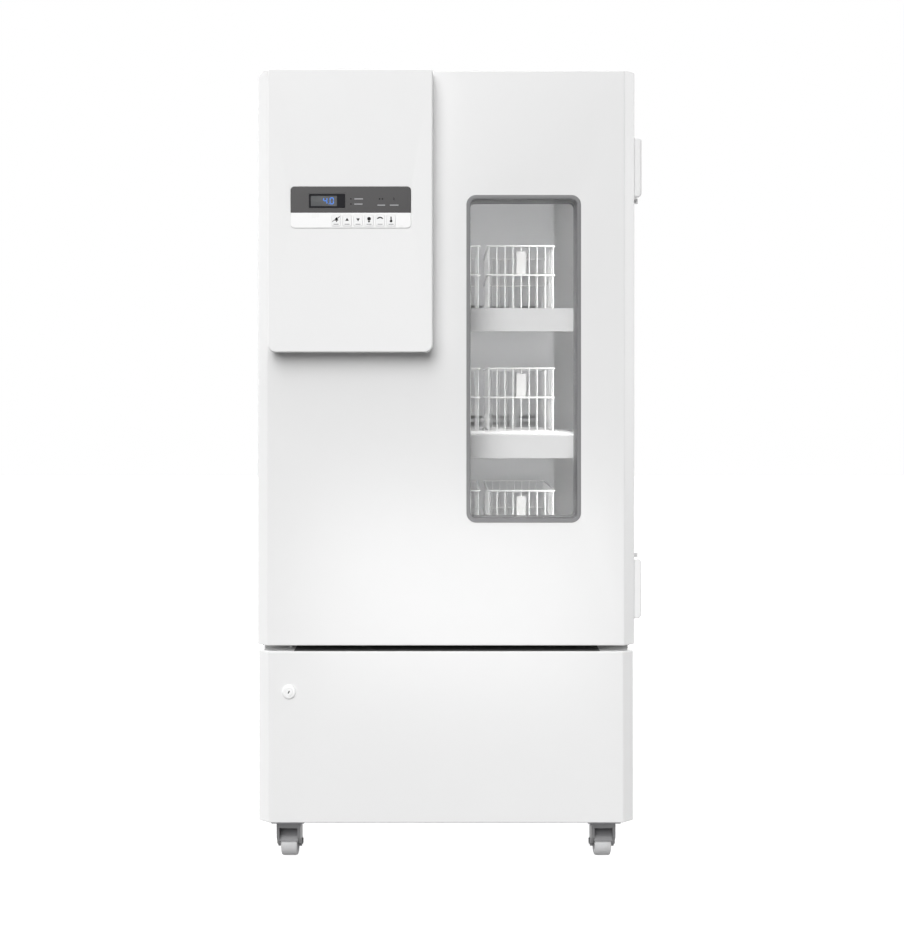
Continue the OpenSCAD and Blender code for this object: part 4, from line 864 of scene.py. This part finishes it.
@dataclass
class Fascia:
    """Two-tone fascia with the display, the lamps, the printed marks and the keys."""

    low: Flat = (-0.324, 1.3395)
    high: Flat = (-0.073, 1.426)
    front: float = -0.38375
    back: float = -0.37725
    split: float = 1.371
    lcd_low: Flat = (-0.2854, 1.3814)
    lcd_high: Flat = (-0.2104, 1.4104)
    key_x: float = -0.2291
    key_pitch: float = 0.02292
    key_z: float = 1.35525
    key_size: Flat = (0.0185, 0.024)
    key_front: float = -0.3846
    keys: int = 6
    fit: float = 0.0003
    lcd_frame: float = 0.0032
    mask_width: float = 0.014
    digit_size: Flat = (0.0085, 0.014)
    digit_pitch: float = 0.0135
    segment: float = 0.0015

    def outline(self, grow: float) -> list[Flat]:
        """Returns the fascia's outline grown by an amount."""
        return grown(self.low, self.high, grow, radius=0.008 + grow, steps=8)

    def lcd_outline(self, grow: float) -> list[Flat]:
        """Returns the display's outline grown by an amount."""
        return grown(self.lcd_low, self.lcd_high, grow, radius=0.0005 + max(grow, 0), steps=3)

    def key_outline(self, index: int, grow: float) -> list[Flat]:
        """Returns a key's outline grown by an amount."""
        x = self.key_x + index * self.key_pitch
        w, h = self.key_size[0] / 2 + grow, self.key_size[1] / 2 + grow
        return rounded((x - w, self.key_z - h), (x + w, self.key_z + h), [0.003 + grow] * 4, 5)

    def plate(self) -> None:
        """Builds the plate, dark above and white below, with openings for the display and the keys."""
        shaper = Shaper()
        shaper.prism(self.outline(0), Axis.Y, self.front, self.back)
        shaper.soften(0.0006, 3, shaper.edges_at(self.front))
        display = grown(self.lcd_low, self.lcd_high, self.fit, radius=0.0004, steps=2)
        holes = [display] + [self.key_outline(i, self.fit) for i in range(self.keys)]
        shaper.pierce((0, -1, 0), [[(x, self.front, z) for x, z in h] for h in holes], 0.004)
        geom = [*shaper.bm.verts, *shaper.bm.edges, *shaper.bm.faces]
        bmesh.ops.bisect_plane(shaper.bm, geom=geom, plane_co=(0, 0, self.split), plane_no=(0, 0, 1))
        for face in shaper.bm.faces:
            face.material_index = 0 if face.calc_center_median().z > self.split else 1
        shaper.piece("fascia_plate", [BAND_DARK, BAND_WHITE], "trim_plastic", "door", ["display_fascia"])

    def display(self) -> None:
        """Builds the display: its frame, its glass, the mask at its side and its lit numbers."""
        face = self.front + 0.0004
        proud, edge, inner = face - 0.0012, face - 0.0006, -self.lcd_frame
        rim = Shaper()
        rim.sweep_ring(self.lcd_outline, [
            (-0.0005, proud), (0.0, edge), (0.0, face + 0.004), (inner, face + 0.004), (inner, edge),
            (inner - 0.0004, proud),
        ])
        rim.piece("display_frame", LCD_FRAME, "black_plastic", "door", ["display_panel"])
        left, bottom = (value + 3 * MM for value in self.lcd_low)
        right, top = (value - 3 * MM for value in self.lcd_high)
        glass = Shaper()
        glass.box((left, face, bottom), (right, face + 0.003, top))
        glass.piece("display_glass", LCD_GLASS, "black_plastic", "door")
        mask = Shaper()
        mask.box((right - self.mask_width, face - 0.0008, bottom), (right, face, top))
        mask.box((right - 0.0085, face - 0.0009, bottom + 0.003), (right - 0.0055, face, bottom + 0.008))
        mask.piece("display_side_mask", LCD_FRAME, "black_plastic", "door")
        lit = Shaper()
        x, z = right - 0.0425, bottom + 0.0045
        for mark in "4.0":
            if mark == ".":
                lit.box((x - 0.0022, face - 0.0003, z), (x - 0.0006, face, z + 0.0016))
                continue
            self.digit(lit, mark, x, z, face)
            x += self.digit_pitch
        lit.piece("display_numbers", LCD_LIT, "black_plastic", "door")

    def digit(self, shaper: Shaper, mark: str, x: float, z: float, face: float) -> None:
        """Adds a seven-segment numeral.

        Args:
            shaper: The mesh under work.
            mark: The numeral.
            x: Its left side.
            z: Its lower side.
            face: Depth of the display's glass.
        """
        (w, h), t = self.digit_size, self.segment
        under, over = h / 2 - t / 2, h / 2 + t / 2
        spans = {
            "a": (t, h - t, w - t, h), "b": (w - t, over, w, h - t), "c": (w - t, t, w, under),
            "d": (t, 0, w - t, t), "e": (0, t, t, under), "f": (0, over, t, h - t),
            "g": (t, under, w - t, over),
        }
        for name in SEGMENTS[mark]:
            x0, z0, x1, z1 = spans[name]
            shaper.box((x + x0, face - 0.0003, z + z0), (x + x1, face + 0.0001, z + z1))

    def marks(self) -> None:
        """Builds the lamps and the printed marks of the dark band."""
        upper, lower, foot = 1.4, 1.3892, 1.387
        y0, y1 = self.front - INK, self.front + INK
        dome = [(0.0, -0.0009), (0.0008, -0.0007), (0.0014, -0.0001), (0.0015, 0.0006), (0.0, 0.0006)]
        lamps = Shaper()
        for z in (upper, lower):
            lamps.lathe(dome, (-0.1984, self.front, z), Axis.Y, 20)
        lamps.piece("lamp_lenses", LAMP_OFF, "black_plastic", "door")
        bars = Shaper()
        for x0, x1, z in ((-0.191, -0.173, upper), (-0.191, -0.174, lower), (-0.143, -0.127, foot),
                          (-0.117, -0.099, foot)):
            bars.box((x0, y0, z - 0.0012), (x1, y1, z + 0.0012))
        bars.piece("grey_marks", PRINT_GREY, "trim_plastic", "door")
        signs = Shaper()
        for x in (-0.1385, -0.1325):
            signs.rod((x, y0, upper), (x, y1, upper), 0.0018, 16)
        signs.prism([(-0.1105, 1.4035), (-0.1065, 1.4005), (-0.1085, 1.4), (-0.1055, 1.396),
                     (-0.111, 1.3995), (-0.109, 1.4)], Axis.Y, y0, y1)
        signs.piece("dark_marks", PRINT_DARK, "trim_plastic", "door")

    def icon(self, shaper: Shaper, index: int, x: float, z: float, front: float) -> None:
        """Adds a key's printed symbol.

        Args:
            shaper: The mesh under work.
            index: Number of the key, from 0.
            x: Middle of the symbol.
            z: Middle of the symbol.
            front: Depth of the key's face.
        """
        y0, y1, unit = front - 0.00012, front + INK, 1.4 * MM

        def shape(points: Sequence[Flat]) -> None:
            """Adds a flat shape from its points about the symbol's middle."""
            shaper.prism([(x + u * unit, z + v * unit) for u, v in points], Axis.Y, y0, y1)

        def disc(u: float, v: float, radius: float) -> None:
            """Adds a flat disc at a place about the symbol's middle."""
            shaper.rod((x + u * unit, y0, z + v * unit), (x + u * unit, y1, z + v * unit), radius * unit, 20)

        if index == 0:
            shape([(-2, -1.5), (3.6, -1.5), (2.9, -0.6), (2.6, 2), (0.8, 3.6), (-1, 2), (-1.3, -0.6)])
            shape([(-6, -2.6), (-5.2, -3.2), (6, 4.2), (5.4, 5)])
            disc(0.8, -2.6, 0.9)
        elif index in (1, 2):
            up = 1 if index == 1 else -1
            shape([(-2.6, -1.8 * up), (2.6, -1.8 * up), (0, 2.6 * up)])
        elif index == 3:
            disc(0, 1.2, 2.8)
            shape([(-1.4, -4), (1.4, -4), (1.4, -2), (-1.4, -2)])
        elif index == 4:
            turns = (math.radians(a) for a in range(30, 151, 15))
            arc = [(5.6 * math.cos(a), 5.6 * math.sin(a) - 1.4) for a in turns]
            shape(arc + [(u * 0.58, v * 0.5 + 0.3) for u, v in reversed(arc)])
        else:
            shape([(-0.8, -1.5), (0.8, -1.5), (0.8, 4.4), (-0.8, 4.4)])
            disc(0, -2.2, 1.9)

    def key(self, index: int) -> None:
        """Builds one key with its symbol and the bar printed under it."""
        body = f"key_{index + 1}"
        shaper = Shaper()
        shaper.prism(self.key_outline(index, 0), Axis.Y, self.key_front, self.back + 0.001)
        shaper.soften(0.0005, 3, shaper.edges_at(self.key_front))
        shaper.piece(f"key_cap_{index + 1}", KEY_FILM, "white_plastic", body, [body])
        signs = Shaper()
        x = self.key_x + index * self.key_pitch
        self.icon(signs, index, x, self.key_z + 0.0015, self.key_front)
        signs.piece(f"key_symbol_{index + 1}", PRINT_DARK, "black_plastic", body)
        half, low, high = 0.0052, self.key_z - 0.009, self.key_z - 0.0074
        bar = Shaper()
        bar.box((x - half, self.key_front - INK, low), (x + half, self.key_front + INK, high))
        bar.piece(f"key_bar_{index + 1}", PRINT_GREY, "white_plastic", body)

    def build(self) -> None:
        """Builds the fascia and its keys."""
        self.plate()
        self.display()
        self.marks()
        for index in range(self.keys):
            self.key(index)


@dataclass
class Base:
    """The panel below the door with its lock, bolt and door sensor."""

    lock: Point = (-0.3315, DOOR_FRONT, 0.3646)
    sensor: Flat = (0.055, -0.32175)
    sensor_hole: float = 0.0064
    bolt_guide: float = BOLT_RADIUS + 0.25 * MM
    top: float = 0.45
    strip_low: Flat = (-0.321, -0.3415)
    strip_high: Flat = (0.325, -0.276)
    strip_top: float = 0.451
    plug_radius: float = 0.0079
    plug_front: float = -0.3474
    plug_back: float = -0.3468

    def panel(self) -> None:
        """Builds the painted base panel."""
        panel = SheetPanel(half_width=0.3975, low=0.088, high=self.top, front=DOOR_FRONT, back=-0.24875)
        shaper = panel.shape()
        shaper.pierce((0, 0, 1), [bolt_hole(self.bolt_guide, panel.high)], 0)
        shaper.open_faces((0, 1, 0))
        shaper.open_faces((0, 0, -1))
        shaper.piece("base_panel_skin", POWDER, "painted_steel", "cabinet", ["base_front_panel"],
                     wall=panel.sheet)

    def lock_face(self) -> None:
        """Builds the lock's round face and body."""
        shaper = Shaper()
        shaper.lathe([
            (0.00805, -0.0024), (0.0085, -0.003), (0.0118, -0.003), (0.0138, -0.0025), (0.0148, -0.0014),
            (0.015, 0.0), (0.011, 0.0), (0.011, 0.04), (0.00805, 0.04), (0.00805, -0.0024),
        ], self.lock, Axis.Y, 64)
        shaper.piece("lock_face", WHITE_PLASTIC, "white_plastic", "cabinet", ["lock_body"])

    def strip(self) -> None:
        """Builds the dark strip on the panel's top that paints the shade in the gap under the door, open
        round the door sensor.
        """
        shaper = Shaper()
        (left, front), (right, back), under = self.strip_low, self.strip_high, self.top + INK
        outline = [(left, back), (left, front), (right, front), (right, back)]
        shaper.prism(outline, Axis.Z, under, self.strip_top)
        sensor = [(x, y, self.strip_top) for x, y in round_points(self.sensor, self.sensor_hole, 24)]
        shaper.pierce((0, 0, 1), [sensor], self.strip_top - under)
        shaper.open_faces((0, 0, -1))
        # Painted shade: this dark strip stands for the shade in the gap under the door.
        shaper.piece("base_top_shade_strip", GAP_SHADE, "rubber", "cabinet")

    def plug_face(self) -> None:
        """Builds the white face of the key plug with its slanted keyhole, and a black plate behind the
        keyhole as painted shade for its depth.
        """
        x, _, z = self.lock
        front, back = self.plug_front, self.plug_back
        cap = Shaper()
        cap.prism(round_points((x, z), self.plug_radius, 48), Axis.Y, front, back)
        cap.soften(0.0003, 2, cap.edges_at(front))
        radius, reach, lean = 1.3 * MM, 2 * MM, math.radians(28)
        turns = ((math.pi * i / 8, reach if i <= 8 else -reach) for i in range(16))
        slot = [(radius * math.cos(a), radius * math.sin(a) + shift) for a, shift in turns]
        slot = [(x + u * math.cos(lean) + v * math.sin(lean), z - u * math.sin(lean) + v * math.cos(lean))
                for u, v in slot]
        cap.pierce((0, -1, 0), [[(u, front, v) for u, v in slot]], back - front)
        cap.piece("lock_plug_face", WHITE_PLASTIC, "white_plastic", "lock_plug")
        # Painted shade: a black plate behind the keyhole stands for the shade in its depth.
        inside = Shaper()
        inside.prism(slot, Axis.Y, back - INK, back - INK / 5)
        inside.piece("keyhole", BLACK_PLASTIC, "black_plastic", "lock_plug")

    def build(self) -> None:
        """Builds the base."""
        self.panel()
        self.strip()
        self.lock_face()
        self.plug_face()
        dress(WHITE_PLASTIC, "lock_plug", "lock_bolt")
        dress(BLACK_PLASTIC, "door_sensor")
        dress(DARK_STEEL, "base_chassis")


@dataclass
class Hinge:
    """The door's side of a hinge: a cast cover with its leaf and knuckle."""

    name: str
    low: float
    length: float = 0.128
    axis_x: float = 0.4075
    axis_y: float = -0.25375
    front: float = -0.31875
    side: float = 0.40005
    corner: float = 0.009
    edge: float = 0.004
    knuckle: float = 0.0085
    pin_bore: float = 0.00405
    leaf_side: float = 0.403
    leaf_offset: float = 0.006

    def leaf(self, replaces: Sequence[str]) -> None:
        """Builds the cover, the leaf and the knuckle.

        Args:
            replaces: CAD nodes that it stands for.
        """
        shaper = Shaper()
        z0, z1 = self.low, self.low + self.length
        back = self.axis_y - self.leaf_offset
        outline = rounded((self.side, z0), (self.axis_x + self.knuckle, z1), (0, self.corner, self.corner, 0))
        shaper.prism(outline, Axis.Y, self.front, back)
        rim = [e for e in shaper.edges_at(self.front) if any(v.co.x > self.side + 1e-5 for v in e.verts)]
        shaper.soften(self.edge, 2, rim)
        shaper.box((self.side, back - 0.001, z0), (self.leaf_side, self.axis_y, z1))
        bore, outer, soft = self.pin_bore, self.knuckle, 0.6 * MM
        profile = [(bore, z0), (outer - soft, z0), (outer, z0 + soft), (outer, z1 - soft), (outer - soft, z1),
                   (bore, z1), (bore, z0)]
        shaper.lathe(profile, (self.axis_x, self.axis_y, 0), Axis.Z, 32)
        shaper.piece(f"hinge_leaf_{self.name}", POWDER, "painted_steel", "door", replaces)


@dataclass
class Basket:
    """A welded wire basket with a label plate at its front."""

    centre_x: float
    deck: float
    centre_y: float = 0.06755
    width: float = 0.156
    length: float = 0.36
    top: float = 0.1475
    middle: float = 0.0815
    rail: float = 0.002
    wire: float = 0.0013
    front_wires: int = 9
    side_wires: int = 7
    front_margin: float = 0.006
    side_margin: float = 0.05
    rail_bend: float = 0.006
    wire_bend: float = 0.005
    lift: float = 0.0002
    weld: float = 0.0004

    def rails(self, shaper: Shaper) -> None:
        """Adds the three rails that run round the basket."""
        x, y = self.width / 2 - self.rail, self.length / 2 - self.rail
        for z in (self.rail, self.middle, self.top):
            corners = [(self.centre_x + u * x, self.centre_y + v * y, self.deck + z)
                       for u, v in ((-1, -1), (1, -1), (1, 1), (-1, 1))]
            shaper.wire(corners, self.rail, self.rail_bend, 10, closed=True)

    def hoops(self, shaper: Shaper) -> None:
        """Adds the wires that run down one wall, under the load and up the other."""
        low = self.deck + self.wire + self.lift
        high = self.deck + self.top
        y = self.length / 2 - 2 * self.rail - self.wire + self.weld
        step = (self.width - 2 * self.rail - self.front_margin) / (self.front_wires - 1)
        for i in range(self.front_wires):
            x = self.centre_x + (i - (self.front_wires - 1) / 2) * step
            a, b = self.centre_y - y, self.centre_y + y
            path = [(x, a, high), (x, a, low), (x, b, low), (x, b, high)]
            shaper.wire(path, self.wire, self.wire_bend, 8)
        x = self.width / 2 - 2 * self.rail - self.wire + self.weld
        step = (self.length - self.side_margin) / (self.side_wires - 1)
        low += 2 * self.wire
        for i in range(self.side_wires):
            y = self.centre_y + (i - (self.side_wires - 1) / 2) * step
            a, b = self.centre_x - x, self.centre_x + x
            path = [(a, y, high), (a, y, low), (b, y, low), (b, y, high)]
            shaper.wire(path, self.wire, self.wire_bend, 8)

    def build(self, name: str, replaces: Sequence[str]) -> None:
        """Builds the basket.

        Args:
            name: Name of the piece.
            replaces: CAD nodes that it stands for.
        """
        shaper = Shaper()
        self.rails(shaper)
        self.hoops(shaper)
        shaper.weld()
        shaper.piece(name, WIRE, "coated_steel", "cabinet", replaces, crease=60)


@dataclass
class Chamber:
    """The cold chamber: liner, duct, shelves and baskets."""

    decks: tuple[float, float, float] = (0.6262, 0.9032, 1.1802)
    pitch: float = 0.17

    def build(self) -> None:
        """Builds the baskets and dresses the rest.

        The middle basket of each shelf stands for the CAD node that holds all three.
        """
        for level, deck in zip(("lower", "middle", "upper"), self.decks):
            for place, side in (("left", -1), ("middle", 0), ("right", 1)):
                basket = Basket(side * self.pitch, deck)
                basket.build(f"basket_{level}_{place}", [f"baskets_{level}"] if side == 0 else [])
            dress(SHELF, f"shelf_{level}")
        dress(LINER, "inner_liner", "breaker_frame", "evaporator_cover")
        dress(DUCT, "air_duct_panel")
        dress(STEEL, "shelf_uprights")
        dress(FINS, "evaporator_coil")
        dress(FAN_PLASTIC, "evaporator_fan")
        dress(CARD, "basket_labels")
        dress(WHITE_PLASTIC, "access_port")


@dataclass
class BackPanel:
    """The plate on the cabinet's back with its screws."""

    low: Flat = (-0.355, 0.51)
    high: Flat = (0.355, 1.62)
    seat: float = 0.37635
    thickness: float = 0.0012
    radius: float = 0.012
    border: float = 0.014

    def screw_places(self) -> list[Flat]:
        """Returns the screws' places, evenly spaced round the plate."""
        x, z0, z1 = self.high[0] - self.border, self.low[1] + self.border, self.high[1] - self.border
        rows = [z0 + (z1 - z0) * i / 4 for i in range(5)]
        return [(s * x, z) for z in rows for s in (-1, 1)] + [(0.0, z0), (0.0, z1)]

    def build(self) -> None:
        """Builds the plate and its screws."""
        shaper = Shaper()
        back = self.seat + self.thickness
        shaper.prism(rounded(self.low, self.high, [self.radius] * 4, 6), Axis.Y, self.seat, back)
        shaper.soften(0.0007, 2, shaper.edges_at(back))
        shaper.piece("back_plate", POWDER_BACK, "painted_steel", "cabinet")
        head = [(0.0, 0.0004), (0.0011, 0.0004), (0.0013, 0.002), (0.0027, 0.0019), (0.0038, 0.001),
                (0.004, 0.0), (0.0, 0.0)]
        screws = Shaper()
        for x, z in self.screw_places():
            screws.lathe(head, (x, back, z), Axis.Y, 16)
        screws.piece("back_plate_screws", ZINC, "steel", "cabinet")


@dataclass
class MachineRoom:
    """The compressor, the condenser and the louvred cover behind the base panel."""

    def build(self) -> None:
        """Dresses the machine room."""
        dress(POWDER_BACK, "rear_cover")
        dress(ENAMEL, "compressor")
        dress(RUBBER, "compressor_mounts")
        dress(FINS, "condenser")
        dress(BLACK_PLASTIC, "condenser_fan_frame", "power_inlet")
        dress(FAN_PLASTIC, "condenser_fan")
        dress(COPPER, "refrigerant_pipes")
        dress(ZINC, "cover_screws")


@dataclass
class Castor:
    """A swivelling castor: fork and wheel."""

    corner: str
    x: float
    y: float
    wheel_radius: float = 0.03
    wheel_half: float = 0.018
    trail: float = 0.02
    half_width: float = 0.0255
    front: float = 0.023
    rear: float = 0.031
    top: float = 0.0787
    head: float = 0.009
    leg: float = 0.0064
    foot: float = 0.011
    web_outer: float = 0.0346
    web_inner: float = 0.0326
    axle_radius: float = 0.0039
    nut_radius: float = 0.007
    nut_height: float = 0.0025

    @property
    def axle(self) -> Flat:
        """Returns the axle's Y and Z."""
        return self.y + self.trail, self.wheel_radius

    def hood(self, shaper: Shaper) -> None:
        """Adds the curved web that joins the fork's legs in front of the wheel.

        Args:
            shaper: The fork under work.
        """
        y, z = self.axle
        half, top = self.half_width - self.leg + 0.2 * MM, self.top - self.head + 0.2 * MM

        def arc(radius: float, degrees: Sequence[int]) -> list[Flat]:
            """Returns points on the web's curve round the wheel."""
            turns = (math.radians(a) for a in degrees)
            return [(y - radius * math.cos(a), z + radius * math.sin(a)) for a in turns]

        outer = arc(self.web_outer, range(14, 63, 6))
        inner = arc(self.web_inner, range(62, 13, -6))
        outline = [*outer, (outer[-1][0], top), (inner[0][0], top), *inner]
        shaper.prism(outline, Axis.X, self.x - half, self.x + half)

    def fork(self) -> None:
        """Builds the pressed fork with its axle and the nuts at the axle's ends."""
        shaper = Shaper()
        left, right = self.x - self.half_width, self.x + self.half_width
        front, rear, top = self.y - self.front, self.y + self.rear, self.top
        y, z = self.axle
        shaper.prism(rounded((left, front), (right, rear), [0.006] * 4, 5), Axis.Z, top - self.head, top)
        side = [(front, top - 0.001), (front + 0.002, top - 0.03), (y - 0.019, z)]
        for i in range(9):
            a = math.radians(180 + 180 * i / 8)
            side.append((y + self.foot * math.cos(a), z + self.foot * math.sin(a)))
        side.append((rear, top - 0.001))
        for x in (left, right - self.leg):
            shaper.prism(side, Axis.X, x, x + self.leg)
        self.hood(shaper)
        shaper.soften(0.0012, 2)
        for end, out in ((left, -self.nut_height), (right, self.nut_height)):
            shaper.rod((end, y, z), (end + out, y, z), self.nut_radius, 6)
        shaper.rod((left, y, z), (right, y, z), self.axle_radius)
        shaper.piece(f"castor_fork_{self.corner}", FORK_STEEL, "dark_steel", f"castor_{self.corner}",
                     [f"fork_{self.corner}"])

    def wheel(self) -> None:
        """Builds the wheel with its tread and hub."""
        shaper = Shaper()
        rim, half = self.wheel_radius, self.wheel_half
        steps = [(0.00405, 0.001), (0.009, 0.001), (0.0095, 0.0035), (0.02, 0.004), (0.0215, 0.0005),
                 (rim - 0.005, 0.0), (rim - 0.0015, 0.0015), (rim, 0.005)]
        profile = [(radius, inset - half) for radius, inset in steps]
        profile += [(radius, half - inset) for radius, inset in reversed(steps)]
        shaper.lathe([*profile, profile[0]], (self.x, *self.axle), Axis.X, 64)
        shaper.piece(f"castor_wheel_{self.corner}", TREAD, "wheel_plastic", f"wheel_{self.corner}",
                     [f"wheel_{self.corner}"])

    def build(self) -> None:
        """Builds the castor."""
        self.fork()
        self.wheel()


def main() -> None:
    """Builds the studio and every sub-assembly in order."""
    logging.basicConfig(level=logging.INFO, format="%(name)s: %(message)s")
    Studio().build()
    dress(POWDER_BACK, "cabinet_shell")
    dress(POWDER, "hinge_brackets")
    dress(FOAM, "cabinet_foam")
    Door(Window()).build()
    fascia = Fascia()
    ControlBox().build(fascia)
    fascia.build()
    Base().build()
    Hinge("lower", low=0.515).leaf(["door_hinge_leaves"])
    Hinge("upper", low=1.412).leaf([])
    Chamber().build()
    MachineRoom().build()
    BackPanel().build()
    dress(DARK_STEEL, "castor_plates")
    for side, x in (("left", -CASTOR_X), ("right", CASTOR_X)):
        Castor(f"front_{side}", x, CASTOR_FRONT).build()
        Castor(f"rear_{side}", x, CASTOR_REAR).build()


if __name__ == "__main__":
    main()
